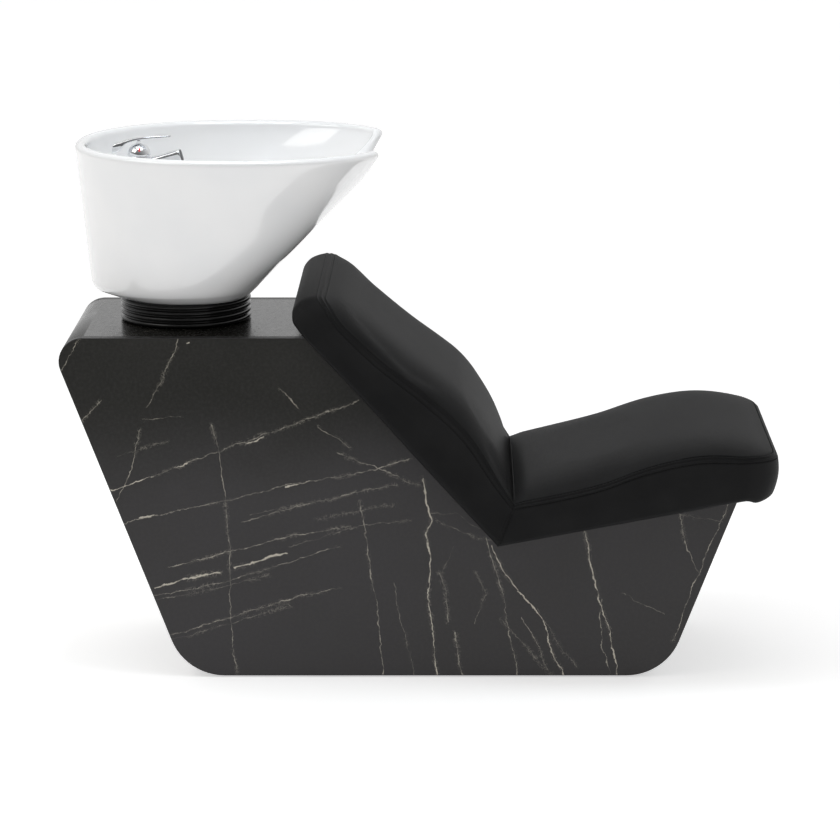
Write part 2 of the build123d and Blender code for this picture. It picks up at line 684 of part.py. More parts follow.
rim_outline = egg(RIM_HEIGHT, *RIM)
shoulder_outline = egg(SHOULDER_HEIGHT, *SHOULDER)
foot_outline = egg(UNDERSIDE_HEIGHT, *FOOT_DISC)
neck_height = RIM_HEIGHT - NECK_DROP
bowl_outlines = [egg(BOWL_FLOOR, *outside_at(BOWL_FLOOR, FLOOR_INSET)),
                 egg(neck_height, *outside_at(neck_height, CERAMIC_WALL, NECK_EXTRA)),
                 egg(RIM_HEIGHT, *outside_at(RIM_HEIGHT, CERAMIC_WALL))]
CAVITY_TOP = DECK_HEIGHT - DECK_THICK
CAVITY_FLOOR = BOWL_FLOOR + 2.0
CAVITY_FRONT_X = DECK_FRONT_X - CERAMIC_WALL
cavity_outlines = [egg(height, *outside_at(height, CERAMIC_WALL))
                   for height in (CAVITY_FLOOR, CAVITY_TOP)]

with BuildPart() as bowl_space:
    loft(bowl_outlines, ruled=True)
    # The deck for the mixer stands behind the bowl.
    with BuildSketch(Plane.XY.offset(BOWL_FLOOR - 5)):
        with Locations((DECK_FRONT_X - 100, 0)):
            Rectangle(200, 600)
    extrude(amount=DECK_HEIGHT - BOWL_FLOOR + 5, mode=Mode.SUBTRACT)
bowl_solid = bowl_space.part

# Hollow behind the bowl, under the deck.
with BuildPart() as rear_hollow:
    loft(cavity_outlines, ruled=True)
    with BuildSketch(Plane.XY.offset(CAVITY_FLOOR - 5)):
        with Locations((CAVITY_FRONT_X + 300, 0)):
            Rectangle(600, 700)
    extrude(amount=300, mode=Mode.SUBTRACT)
hollow_solid = rear_hollow.part

DRAIN_RADIUS = 23.0
STUD_RADIUS = 12.0
STUD_X = MIXER_X - 6.0
HOSE_WAY = 34.0
HOSE_WAY_WIDTH = 90.0
with BuildPart() as basin:
    loft([shoulder_outline, rim_outline], ruled=True)
    loft([foot_outline, shoulder_outline], ruled=True)
    add(bowl_solid, mode=Mode.SUBTRACT)
    add(hollow_solid, mode=Mode.SUBTRACT)
    # Neck notch, cut through the front wall.
    with BuildSketch(Plane.YZ.offset(-260)):
        with Locations((0, RIM_HEIGHT)):
            Ellipse(NOTCH_HALF_WIDTH, NOTCH_DEPTH)
    extrude(amount=300, mode=Mode.SUBTRACT)
    # Way for the hoses from the hollow down into the bellows.
    with BuildSketch(Plane.XY.offset(UNDERSIDE_HEIGHT - 5)):
        with Locations((CAVITY_FRONT_X - HOSE_WAY / 2, 0)):
            Rectangle(HOSE_WAY, HOSE_WAY_WIDTH)
    extrude(amount=CAVITY_FLOOR - UNDERSIDE_HEIGHT + 10, mode=Mode.SUBTRACT)
    with BuildSketch(Plane.XY.offset(DECK_HEIGHT + 5)):
        with Locations((STUD_X, 0)):
            Circle(STUD_RADIUS + 1)
    extrude(amount=-THROUGH, mode=Mode.SUBTRACT)
    with BuildSketch(Plane.XY.offset(BOWL_FLOOR + 5)):
        with Locations((PIVOT_X, 0)):
            Circle(DRAIN_RADIUS + 1)
    extrude(amount=-60, mode=Mode.SUBTRACT)
    with BuildSketch(Plane.XY.offset(UNDERSIDE_HEIGHT - 1)):
        with Locations((PIVOT_X, 0)):
            with Locations(*CARRIER_BOLTS):
                Circle(BOLT_HOLE)
    extrude(amount=CARRIER_BOLT_REACH + 1, mode=Mode.SUBTRACT)
keep(basin.part, "basin")

# Rubber bellows between the base's top and the ceramic.
RING_COUNT = 4
RING_WALL = 2.5
RING_DEPTH = 9.0
BELLOWS_BOTTOM = TOP_HEIGHT + 0.3
BELLOWS_TOP = UNDERSIDE_HEIGHT - 0.3
ring_pitch = (BELLOWS_TOP - BELLOWS_BOTTOM) / RING_COUNT
zigzag = []
for k in range(RING_COUNT + 1):
    zigzag.append((BELLOWS_RADIUS - RING_DEPTH, BELLOWS_BOTTOM + k * ring_pitch))
    if k < RING_COUNT:
        zigzag.append((BELLOWS_RADIUS, BELLOWS_BOTTOM + (k + 0.5) * ring_pitch))
inner_zigzag = [(r - RING_WALL, z) for r, z in reversed(zigzag)]
with BuildPart() as bellows:
    with BuildSketch(Plane.XZ):
        with BuildLine():
            Polyline(*zigzag, *inner_zigzag, close=True)
        make_face()
    revolve(axis=Axis.Z)
keep(Pos(PIVOT_X, 0, 0) * bellows.part, "bellows")

# ---- waste ----
STRAINER_RADIUS = 20.0
STRAINER_FLANGE = 29.0
WASTE_FLANGE = 34.0
FLANGE_THICK = 2.5
CUP_DEPTH = 50.0
SEAL_THICK = 3.0
with BuildPart() as waste_cup:
    with BuildSketch(Plane.XY.offset(BOWL_FLOOR + RUNNING_GAP)):
        Circle(WASTE_FLANGE)
        Circle(STRAINER_RADIUS + 0.5, mode=Mode.SUBTRACT)
    extrude(amount=FLANGE_THICK)
    with BuildSketch(Plane.XY.offset(BOWL_FLOOR + RUNNING_GAP)):
        Circle(DRAIN_RADIUS)
        Circle(STRAINER_RADIUS + 0.5, mode=Mode.SUBTRACT)
    extrude(amount=-CUP_DEPTH)
keep(Pos(PIVOT_X, 0, 0) * waste_cup.part, "waste_cup")

with BuildPart() as waste_seal:
    with BuildSketch(Plane.XY.offset(UNDERSIDE_HEIGHT)):
        Circle(WASTE_FLANGE)
        Circle(DRAIN_RADIUS + 0.1, mode=Mode.SUBTRACT)
    extrude(amount=-SEAL_THICK)
keep(Pos(PIVOT_X, 0, 0) * waste_seal.part, "waste_seal")

with BuildPart() as waste_nut:
    with BuildSketch(Plane.XY.offset(UNDERSIDE_HEIGHT - SEAL_THICK)):
        RegularPolygon(WASTE_FLANGE, 6)
        Circle(DRAIN_RADIUS + 0.1, mode=Mode.SUBTRACT)
    extrude(amount=-9.0)
keep(Pos(PIVOT_X, 0, 0) * waste_nut.part, "waste_nut")

TAIL_RADIUS = 20.0
TAIL_LENGTH = 150.0
SPIGOT_LENGTH = 70.0
TAIL_TOP = BOWL_FLOOR - CUP_DEPTH
TAIL_WALL = 2.0
TAIL_NUT_RADIUS = 29.0
with BuildPart() as tailpiece:
    with BuildSketch(Plane.XY.offset(TAIL_TOP)):
        Circle(TAIL_RADIUS)
        Circle(TAIL_RADIUS - TAIL_WALL, mode=Mode.SUBTRACT)
    extrude(amount=-TAIL_LENGTH)
    with BuildSketch(Plane.XY.offset(TAIL_TOP)):
        Circle(DRAIN_RADIUS)
        Circle(TAIL_RADIUS - TAIL_WALL, mode=Mode.SUBTRACT)
    extrude(amount=-SEAL_THICK)
    # Bead that a hose or trap is pushed up against.
    with BuildSketch(Plane.XY.offset(TAIL_TOP - TAIL_LENGTH + SPIGOT_LENGTH)):
        Circle(TAIL_RADIUS + 2)
        Circle(TAIL_RADIUS - TAIL_WALL, mode=Mode.SUBTRACT)
    extrude(amount=3.0)
keep(Pos(PIVOT_X, 0, 0) * tailpiece.part, "tailpiece")

with BuildPart() as tail_nut:
    with BuildSketch(Plane.XY.offset(TAIL_TOP + 10)):
        RegularPolygon(TAIL_NUT_RADIUS, 10)
        Circle(DRAIN_RADIUS + 0.1, mode=Mode.SUBTRACT)
    extrude(amount=-13.0)
    with BuildSketch(Plane.XY.offset(TAIL_TOP - 3)):
        RegularPolygon(TAIL_NUT_RADIUS, 10)
        Circle(TAIL_RADIUS + 0.1, mode=Mode.SUBTRACT)
    extrude(amount=-4.0)
keep(Pos(PIVOT_X, 0, 0) * tail_nut.part, "tail_nut")

# Lift-out hair strainer: a dished, pierced disc with a grip in the middle.
STRAINER_WALL = 1.2
STRAINER_DEPTH = 8.0
STRAINER_HOLE = 1.6
STRAINER_SEAT = BOWL_FLOOR + FLANGE_THICK + 0.3
with BuildPart() as hair_strainer:
    with BuildSketch(Plane.XY.offset(STRAINER_SEAT)):
        Circle(STRAINER_FLANGE)
    extrude(amount=STRAINER_WALL)
    with BuildSketch(Plane.XY.offset(STRAINER_SEAT)):
        Circle(STRAINER_RADIUS - 0.5)
    extrude(amount=-STRAINER_DEPTH)
    with BuildSketch(Plane.XY.offset(STRAINER_SEAT - STRAINER_DEPTH + STRAINER_WALL)):
        Circle(STRAINER_RADIUS - 0.5 - STRAINER_WALL)
    extrude(amount=STRAINER_DEPTH + 1, mode=Mode.SUBTRACT)
    with BuildSketch(Plane.XY.offset(STRAINER_SEAT + 2)):
        with PolarLocations(7.5, 6):
            Circle(STRAINER_HOLE)
        with PolarLocations(13.5, 12):
            Circle(STRAINER_HOLE)
    extrude(amount=-THROUGH, mode=Mode.SUBTRACT)
    # Grip, from the dish's floor to just above the flange.
    with BuildSketch(Plane.XY.offset(STRAINER_SEAT - STRAINER_DEPTH + STRAINER_WALL - 0.5)):
        Circle(3.0)
    extrude(amount=13.0)
keep(Pos(PIVOT_X, 0, 0) * hair_strainer.part, "hair_strainer")

# ---- mixer ----
spray_dir = Vector(cos(radians(SPRAY_ANGLE)), 0, sin(radians(SPRAY_ANGLE)))
SPRAY = Plane(origin=(SPRAY_DOCK[0], 0, SPRAY_DOCK[1]), x_dir=(0, 1, 0), z_dir=spray_dir)
SOCKET_RADIUS = 16.0
SPIGOT_RADIUS = 9.0
SPRAY_LENGTH = 58.0
SEAL_HEIGHT = 2.0
BODY_FOOT = 24.0
DOME_RADIUS = 22.0
STEM_RADIUS = 4.5
STEM_HOLE_DEPTH = 12.0
STEM_HALF_HEAD = 3.4
CHEEK_RADIUS = 2.5

with BuildPart() as mixer_body:
    with BuildSketch(Plane.XY.offset(DECK_HEIGHT + SEAL_HEIGHT)):
        with Locations((MIXER_X, 0)):
            Circle(BODY_FOOT)
    extrude(amount=3.0)
    with BuildSketch(Plane.XY.offset(DECK_HEIGHT + SEAL_HEIGHT)):
        with Locations((MIXER_X, 0)):
            Circle(MIXER_RADIUS)
    extrude(amount=DOME_TOP - DOME_RADIUS - DECK_HEIGHT - SEAL_HEIGHT)
    with BuildSketch(SPRAY.offset(-12)):
        Circle(SOCKET_RADIUS - 2)
    extrude(amount=16)
    with BuildSketch(SPRAY.offset(-2)):
        Circle(SPIGOT_RADIUS + 0.3)
    extrude(amount=8, mode=Mode.SUBTRACT)
keep(mixer_body.part, "mixer_body")

MARK_WIDTH = 3.0
MARK_HEIGHT = 9.0
MARK_PLANE = Plane(origin=(0, -DOME_RADIUS - 1, DOME_TOP - 12), x_dir=(1, 0, 0), z_dir=(0, 1, 0))
with BuildPart() as dome:
    with BuildSketch(Plane.XZ):
        with BuildLine():
            Line((0, DOME_TOP - DOME_RADIUS), (DOME_RADIUS, DOME_TOP - DOME_RADIUS))
            CenterArc((0, DOME_TOP - DOME_RADIUS), DOME_RADIUS, 0, 90)
            Line((0, DOME_TOP), (0, DOME_TOP - DOME_RADIUS))
        make_face()
    revolve(axis=Axis.Z)
dome_solid = dome.part

with BuildPart() as mixer_dome:
    add(dome_solid)
    with BuildSketch(Plane.XY.offset(DOME_TOP + 1)):
        Circle(STEM_RADIUS + RUNNING_GAP)
    extrude(amount=-STEM_HOLE_DEPTH - 1, mode=Mode.SUBTRACT)
    with BuildSketch(MARK_PLANE):
        Rectangle(MARK_WIDTH, MARK_HEIGHT)
    extrude(amount=5.0, mode=Mode.SUBTRACT)
keep(Pos(MIXER_X, 0, 0) * mixer_dome.part, "mixer_dome")

with BuildPart() as heat_mark:
    add(dome_solid)
    with BuildSketch(MARK_PLANE):
        Rectangle(MARK_WIDTH - 0.1, MARK_HEIGHT - 0.1)
    extrude(amount=4.95, mode=Mode.INTERSECT)
keep(Pos(MIXER_X, 0, 0) * heat_mark.part, "heat_mark")

with BuildPart() as mixer_seal:
    with BuildSketch(Plane.XY.offset(DECK_HEIGHT)):
        with Locations((MIXER_X, 0)):
            Circle(BODY_FOOT)
        with Locations((STUD_X, 0)):
            Circle(STUD_RADIUS + 1, mode=Mode.SUBTRACT)
    extrude(amount=SEAL_HEIGHT)
keep(mixer_seal.part, "mixer_seal")

STUD_LENGTH = 42.0
with BuildPart() as mixer_stud:
    with BuildSketch(Plane.XY.offset(DECK_HEIGHT + SEAL_HEIGHT)):
        with Locations((STUD_X, 0)):
            Circle(STUD_RADIUS)
            Circle(STUD_RADIUS - 3, mode=Mode.SUBTRACT)
    extrude(amount=-STUD_LENGTH)
keep(mixer_stud.part, "mixer_stud")

with BuildPart() as mixer_nut:
    with BuildSketch(Plane.XY.offset(DECK_HEIGHT - DECK_THICK)):
        with Locations((STUD_X, 0)):
            RegularPolygon(15.0, 6)
            Circle(STUD_RADIUS + 0.1, mode=Mode.SUBTRACT)
    extrude(amount=-8.0)
keep(mixer_nut.part, "mixer_nut")

# Cartridge stem: turns for temperature, and carries the lever on a cross pin.
CROSS_PIN_RADIUS = 1.5
CROSS_PIN_LENGTH = 18.0
with BuildPart() as mixer_stem:
    with BuildSketch(Plane.XY.offset(DOME_TOP - STEM_HOLE_DEPTH + 0.5)):
        with Locations((MIXER_X, 0)):
            Circle(STEM_RADIUS)
    extrude(amount=STEM_HOLE_DEPTH - 0.2)
    with BuildSketch(side_plane(STEM_HALF_HEAD)):
        with Locations((MIXER_X, LEVER_PIVOT_Z)):
            Circle(CHEEK_RADIUS)
        with Locations((MIXER_X, LEVER_PIVOT_Z - 2)):
            Rectangle(2 * CHEEK_RADIUS, 4)
    extrude(amount=2 * STEM_HALF_HEAD)
    with BuildSketch(side_plane(CROSS_PIN_LENGTH / 2)):
        with Locations((MIXER_X, LEVER_PIVOT_Z)):
            Circle(CROSS_PIN_RADIUS)
    extrude(amount=CROSS_PIN_LENGTH)
keep(mixer_stem.part, "mixer_stem")

LEVER_HALF_WIDTH = 12.0
CHEEK_THICK = 4.0
SKIRT_FOOT = [(-552.0, 949.0), (-569.0, 949.0)]
BLADE_TOP = [(-565.5, 967.5), (-517.0, 977.0), (-460.0, 980.5)]
BLADE_UNDER = [(-459.0, 978.0), (-505.0, 975.2), (-546.0, 964.5)]
with BuildPart() as mixer_lever:
    # Arched blade and the skirt that hangs behind the body.
    with BuildSketch(side_plane(LEVER_HALF_WIDTH)):
        with BuildLine():
            Polyline(BLADE_UNDER[-1], *SKIRT_FOOT, BLADE_TOP[0])
            ThreePointArc(*BLADE_TOP)
            Line(BLADE_TOP[-1], BLADE_UNDER[0])
            ThreePointArc(*BLADE_UNDER)
        make_face()
    extrude(amount=2 * LEVER_HALF_WIDTH)
    # Two cheeks that hang over the cross pin.
    for y in (-5.0, 9.0):
        with BuildSketch(side_plane(y)):
            with Locations((MIXER_X, LEVER_PIVOT_Z)):
                Circle(CHEEK_RADIUS)
            with Locations((MIXER_X, LEVER_PIVOT_Z + 2.0)):
                Rectangle(2 * CHEEK_RADIUS, 4.4)
        extrude(amount=CHEEK_THICK)
    with BuildSketch(side_plane(10.0)):
        with Locations((MIXER_X, LEVER_PIVOT_Z)):
            Circle(CROSS_PIN_RADIUS + RUNNING_GAP)
    extrude(amount=20.0, mode=Mode.SUBTRACT)
    # The blade narrows to a round tip.
    with BuildSketch(Plane.XY.offset(940)):
        with BuildLine():
            Polyline((-580, -LEVER_HALF_WIDTH), (-520, -LEVER_HALF_WIDTH), (-468, -8))
            ThreePointArc((-468, -8), (-458, 0), (-468, 8))
            Polyline((-468, 8), (-520, LEVER_HALF_WIDTH), (-580, LEVER_HALF_WIDTH),
                     (-580, -LEVER_HALF_WIDTH))
        make_face()
    extrude(amount=60, mode=Mode.INTERSECT)
keep(mixer_lever.part, "mixer_lever")

# Pull-out hand spray, docked in the mixer's socket.
with BuildPart() as hand_spray:
    with BuildSketch(SPRAY.offset(4.3)):
        Circle(SOCKET_RADIUS - 2)
    with BuildSketch(SPRAY.offset(SPRAY_LENGTH)):
        Circle(SOCKET_RADIUS - 0.5)
    loft()
    with BuildSketch(SPRAY.offset(-1.5)):
        Circle(SPIGOT_RADIUS)
    extrude(amount=6.5)
    fillet(hand_spray.edges().group_by(Axis(SPRAY.origin, SPRAY.z_dir))[-1], radius=2.0)
keep(hand_spray.part, "hand_spray")

with BuildPart() as spray_face:
    with BuildSketch(SPRAY.offset(SPRAY_LENGTH)):
        Circle(SOCKET_RADIUS - 4)
    extrude(amount=2.0)
keep(spray_face.part, "spray_face")

# ---- write the parts ----
os.makedirs("parts", exist_ok=True)
for part in PARTS:
    export_step(part, "parts/" + part.label + ".step")
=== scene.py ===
import json
from math import cos, pi, radians, sin, sqrt

import bpy
import numpy as np
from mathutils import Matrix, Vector
from mathutils.bvhtree import BVHTree
from mathutils.kdtree import KDTree


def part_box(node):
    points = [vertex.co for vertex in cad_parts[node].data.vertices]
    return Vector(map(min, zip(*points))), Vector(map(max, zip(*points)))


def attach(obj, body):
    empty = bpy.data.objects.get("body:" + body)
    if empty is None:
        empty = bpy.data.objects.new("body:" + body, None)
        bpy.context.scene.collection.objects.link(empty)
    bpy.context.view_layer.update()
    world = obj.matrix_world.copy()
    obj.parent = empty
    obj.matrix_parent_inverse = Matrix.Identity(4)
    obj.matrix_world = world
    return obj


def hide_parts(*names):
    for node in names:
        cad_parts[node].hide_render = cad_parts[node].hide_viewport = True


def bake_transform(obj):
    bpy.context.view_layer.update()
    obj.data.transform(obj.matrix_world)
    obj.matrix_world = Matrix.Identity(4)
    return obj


# Shampoo backwash unit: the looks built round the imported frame. Metres, +X towards the sitter's feet, +Z up.
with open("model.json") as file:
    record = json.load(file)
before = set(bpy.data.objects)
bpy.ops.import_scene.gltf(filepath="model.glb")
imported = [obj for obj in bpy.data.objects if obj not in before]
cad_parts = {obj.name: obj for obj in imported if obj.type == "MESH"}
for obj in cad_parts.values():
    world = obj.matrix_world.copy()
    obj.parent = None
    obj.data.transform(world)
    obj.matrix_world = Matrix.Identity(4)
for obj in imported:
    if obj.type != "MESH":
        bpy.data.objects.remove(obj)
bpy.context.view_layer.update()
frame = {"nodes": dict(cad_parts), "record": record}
NODES = frame["nodes"]
SCENE = bpy.context.scene
MM = 0.001

# ---- camera: the side, seen a little from above through a long lens ----
CAMERA_PLACE = (0.0725, -6.0573, 1.8173)
CAMERA_PITCH = 12.79
CAMERA_LENS = 141.64
CAMERA_SHIFT = -0.0476
camera_data = bpy.data.cameras.new("camera")
camera_data.lens = CAMERA_LENS
camera_data.sensor_width = 36.0
camera_data.shift_x = CAMERA_SHIFT
camera = bpy.data.objects.new("camera", camera_data)
camera.location = CAMERA_PLACE
camera.rotation_euler = (radians(90 - CAMERA_PITCH), 0, 0)
SCENE.collection.objects.link(camera)
SCENE.camera = camera
SCENE.view_settings.view_transform = "Standard"


# ---- shader helpers ----
class Shader:
    """One procedural material, with short calls for the nodes that it is made of."""

    def __init__(self, name):
        self.material = bpy.data.materials.new(name)
        self.material.use_nodes = True
        self.tree = self.material.node_tree
        self.surface = self.tree.nodes["Principled BSDF"]
        self.place = self.node("ShaderNodeTexCoord").outputs["Object"]

    def node(self, kind, **settings):
        made = self.tree.nodes.new(kind)
        for key, value in settings.items():
            setattr(made, key, value)
        return made

    def put(self, socket, value):
        if isinstance(value, bpy.types.NodeSocket):
            self.tree.links.new(value, socket)
        else:
            socket.default_value = value

    def set(self, **values):
        """Sets the surface's own sockets: base_color=..., roughness=... and so on."""
        for key, value in values.items():
            self.put(self.surface.inputs[key.replace("_", " ").title().replace("Ior", "IOR")], value)
        return self

    def math(self, operation, *values, clamp=False):
        made = self.node("ShaderNodeMath", operation=operation, use_clamp=clamp)
        for socket, value in zip(made.inputs, values):
            self.put(socket, value)
        return made.outputs[0]

    def vector(self, operation, *values):
        made = self.node("ShaderNodeVectorMath", operation=operation)
        for socket, value in zip(made.inputs, values):
            self.put(socket, value)
        return made.outputs["Value" if operation in ("DOT_PRODUCT", "DISTANCE", "LENGTH") else "Vector"]

    def noise(self, scale, detail=3.0, roughness=0.5, place=None, stretch=None, colour=False):
        where = place or self.place
        if stretch:
            where = self.vector("MULTIPLY", where, stretch)
        made = self.node("ShaderNodeTexNoise")
        self.put(made.inputs["Vector"], where)
        made.inputs["Scale"].default_value = scale
        made.inputs["Detail"].default_value = detail
        made.inputs["Roughness"].default_value = roughness
        return made.outputs["Color" if colour else 0]

    def cells(self, scale, place):
        """Distance to the edge of the nearest cell."""
        made = self.node("ShaderNodeTexVoronoi", feature="DISTANCE_TO_EDGE")
        self.put(made.inputs["Vector"], place)
        made.inputs["Scale"].default_value = scale
        return made.outputs["Distance"]

    def ramp(self, value, low, high, to_low=0.0, to_high=1.0):
        """Smooth step of a value from low..high to the two given numbers."""
        made = self.node("ShaderNodeMapRange", interpolation_type="SMOOTHSTEP")
        for socket, number in zip(made.inputs, (value, low, high, to_low, to_high)):
            self.put(socket, number)
        return made.outputs[0]

    def mix(self, share, first, second):
        made = self.node("ShaderNodeMix", data_type="RGBA")
        self.put(made.inputs[0], share)
        self.put(made.inputs[6], (*first, 1.0) if isinstance(first, tuple) else first)
        self.put(made.inputs[7], (*second, 1.0) if isinstance(second, tuple) else second)
        return made.outputs[2]

    def drifted(self, place, amount, *settings):
        """A place moved about by noise of the given scale, detail and roughness."""
        drift = self.vector("SUBTRACT", self.noise(*settings, colour=True), (0.5, 0.5, 0.5))
        return self.vector("MULTIPLY_ADD", drift, amount, place)

    def crest(self, value, width):
        """1 where a value is a half, and 0 from a width away."""
        return self.ramp(self.math("ABSOLUTE", self.math("SUBTRACT", value, 0.5)), 0.0, width, 1.0, 0.0)

    def bump(self, height, strength, distance):
        made = self.node("ShaderNodeBump")
        made.inputs["Strength"].default_value = strength
        made.inputs["Distance"].default_value = distance
        self.put(made.inputs["Height"], height)
        if self.surface.inputs["Normal"].links:
            self.put(made.inputs["Normal"], self.surface.inputs["Normal"].links[0].from_socket)
        self.tree.links.new(made.outputs[0], self.surface.inputs["Normal"])
        return self


# ---- materials ----
# Veins of the stone-look laminate on the side panels, in mm: a half width, and a line of (x, z) points.
STRONG_VEINS = [
    (1.7, [(-490, 170), (-425, 190), (-370, 200)]),
    (1.7, [(-340, 208), (-290, 225), (-245, 238)]),
    (1.5, [(5, 380), (20, 300), (10, 275), (20, 230), (15, 160)]),
    (1.3, [(15, 160), (25, 50), (30, 0)]),
    (1.4, [(130, 250), (150, 205), (185, 160), (225, 110)]),
    (1.2, [(225, 110), (240, 55), (265, 0)]),
    (1.4, [(300, 280), (320, 180), (350, 80), (365, 0)]),
    (1.1, [(-570, 355), (-505, 375)]),
    (1.2, [(-450, 400), (-425, 406)]),
    (1.2, [(-320, 444), (-285, 456)]),
    (1.2, [(-245, 360), (-200, 373)]),
    (1.1, [(-515, 303), (-480, 310)]),
    (1.2, [(-420, 628), (-416, 629)]),
]
MEDIUM_VEINS = [
    (0.8, [(-615, 640), (-655, 570)]),
    (0.8, [(-580, 525), (-625, 475)]),
    (0.9, [(-435, 640), (-455, 590), (-495, 510)]),
    (0.9, [(-510, 470), (-525, 400), (-555, 335)]),
    (0.9, [(-505, 375), (-430, 405), (-300, 455), (-200, 490), (-110, 525)]),
    (0.9, [(-545, 295), (-360, 335), (-220, 370), (-125, 385), (-20, 415)]),
    (1.1, [(-255, 545), (-220, 510)]),
    (0.9, [(-185, 475), (-155, 455), (-130, 435)]),
    (1.0, [(-150, 425), (-80, 400), (-30, 375), (0, 365)]),
    (0.9, [(-380, 480), (-365, 405), (-355, 335), (-350, 245)]),
    (0.9, [(-350, 245), (-350, 115), (-340, 0)]),
    (0.8, [(-330, 295), (-225, 325), (-125, 350), (-40, 365)]),
    (0.9, [(-465, 210), (-350, 240), (-235, 270), (-125, 290)]),
    (0.8, [(-490, 155), (-350, 185), (-275, 210), (-150, 250)]),
    (0.9, [(-465, 80), (-350, 115), (-225, 155), (-150, 170)]),
    (1.0, [(-110, 335), (-100, 280), (-95, 225), (-80, 130), (-70, 0)]),
    (0.9, [(120, 265), (150, 160), (180, 0)]),
    (0.9, [(335, 150), (330, 115), (335, 60), (350, 0)]),
    (0.9, [(475, 310), (485, 255), (510, 200)]),
    (0.9, [(565, 330), (505, 185), (465, 70)]),
    (1.1, [(35, 200), (45, 165), (50, 105)]),
    (1.1, [(65, 85), (70, 40), (80, 0)]),
    (0.9, [(185, 115), (215, 65), (235, 10)]),
]
FAINT_VEINS = [
    (0.8, [(-505, 488), (-430, 495)]),
    (0.8, [(150, 110), (240, 5)]),
    (0.8, [(-490, 148), (-400, 165), (-280, 195)]),
    (0.8, [(-470, 70), (-350, 103), (-240, 140)]),
    (0.7, [(-310, 310), (-160, 340)]),
    (0.8, [(20, 315), (65, 310), (110, 285)]),
    (0.7, [(30, 300), (80, 275), (130, 260)]),
    (0.8, [(475, 310), (555, 295)]),
    (0.8, [(215, 130), (250, 70), (290, 20)]),
    (0.7, [(100, 200), (120, 160), (100, 100)]),
    (0.7, [(-190, 300), (-50, 330)]),
    (0.7, [(-240, 250), (-110, 290), (-20, 300)]),
    (0.7, [(-50, 180), (-35, 100), (-10, 0)]),
    (0.6, [(60, 250), (40, 200)]),
    (0.6, [(-550, 420), (-460, 450)]),
    (0.7, [(370, 160), (450, 120)]),
]


def vein_mask(shader, veins, place):
    """Distance to the nearest of the veins, counted in that vein's half widths."""
    nearest = None
    for half_width, points in veins:
        for (x0, z0), (x1, z1) in zip(points, points[1:]):
            start, span = (x0 * MM, 0.0, z0 * MM), ((x1 - x0) * MM, 0.0, (z1 - z0) * MM)
            length2 = span[0] ** 2 + span[2] ** 2
            along = shader.vector("SUBTRACT", place, start)
            share = shader.vector("DOT_PRODUCT", along, tuple(c / length2 for c in span))
            # The clamp holds the nearest point between the segment's ends.
            share = shader.math("MULTIPLY", share, 1.0, clamp=True)
            foot = shader.node("ShaderNodeCombineXYZ")
            shader.put(foot.inputs[0], share)
            shader.put(foot.inputs[2], share)
            on_line = shader.vector("MULTIPLY_ADD", foot.outputs[0], span, start)
            distance = shader.math("DIVIDE", shader.vector("DISTANCE", place, on_line), half_width * MM)
            nearest = distance if nearest is None else shader.math("MINIMUM", nearest, distance)
    return nearest


def laminate(name, smooth=0.0):
    """Charcoal stone-look laminate: mottled ground, fine grain and a satin skin, with painted shade that
    darkens it towards the top.

    The larger smooth is, the less grain shows and the more the skin shines.
    """
    shader = Shader(name)
    cloud = shader.noise(3.2, 5.0, 0.6)
    grain = shader.noise(160.0, 4.0, 0.65)
    height = shader.node("ShaderNodeSeparateXYZ")
    shader.put(height.inputs[0], shader.place)
    # Painted shade: the ground turns darker towards the top of the panels and shells, for the soft shadow
    # under the overhanging cushion.
    uneven = shader.math("ADD", height.outputs[2], shader.math("MULTIPLY", cloud, 0.2))
    upper = shader.ramp(uneven, 0.42, 0.64)
    ground = shader.mix(upper, (0.043, 0.041, 0.0428), (0.009, 0.009, 0.0072))
    ground = shader.mix(shader.ramp(cloud, 0.3, 0.72, 0.0, 0.35), ground, (0.031, 0.0295, 0.027))
    flecks = shader.ramp(grain, 0.35, 0.75, 0.0, 0.16 - 0.7 * smooth)
    ground = shader.mix(flecks, ground, (0.075, 0.072, 0.07))
    shader.set(roughness=shader.ramp(grain, 0.3, 0.7, 0.34 - smooth, 0.44 - smooth),
               specular_ior_level=0.2 + 2.4 * smooth)
    shader.bump(grain, 0.12 - 0.7 * smooth, 0.0003)
    return shader, ground


def marble_panel():
    """Laminate of the side panels, with the three sets of veins over its ground."""
    shader, ground = laminate("marble_laminate")
    place = shader.drifted(shader.place, (0.017, 0.0, 0.017), 26.0, 4.0, 0.6)
    place = shader.drifted(place, (0.0045, 0.0, 0.0045), 150.0, 2.0, 0.6)
    place = shader.vector("MULTIPLY", place, (1.0, 0.0, 1.0))
    broken = shader.noise(34.0, 4.0, 0.75)
    swell = shader.ramp(shader.noise(52.0, 3.0, 0.7), 0.3, 0.7, 0.3, 1.45)
    crackle = shader.crest(shader.noise(70.0, 5.0, 0.75, place=place), 0.02)
    crackle = shader.math("MULTIPLY", crackle, shader.ramp(shader.noise(11.0, 2.0), 0.45, 0.6, 0.0, 0.6))
    mask = 0.0
    for veins, low, high, dim, bright, reach in (
            (STRONG_VEINS, 0.34, 0.5, 0.3, 0.95, 5.0), (MEDIUM_VEINS, 0.4, 0.62, 0.12, 0.6, 7.0),
            (FAINT_VEINS, 0.42, 0.64, 0.05, 0.34, 9.0)):
        away = vein_mask(shader, veins, place)
        line = shader.ramp(shader.math("DIVIDE", away, swell), 0.3, 1.2, 1.0, 0.0)
        line = shader.math("MULTIPLY", line, shader.ramp(broken, low, high, dim, bright))
        side = shader.math("MULTIPLY", crackle, shader.ramp(away, 1.0, reach, 0.6, 0.0))
        mask = shader.math("MAXIMUM", mask, shader.math("MAXIMUM", line, side))
    shader.set(base_color=shader.mix(mask, ground, (0.56, 0.52, 0.44)))
    return shader.material


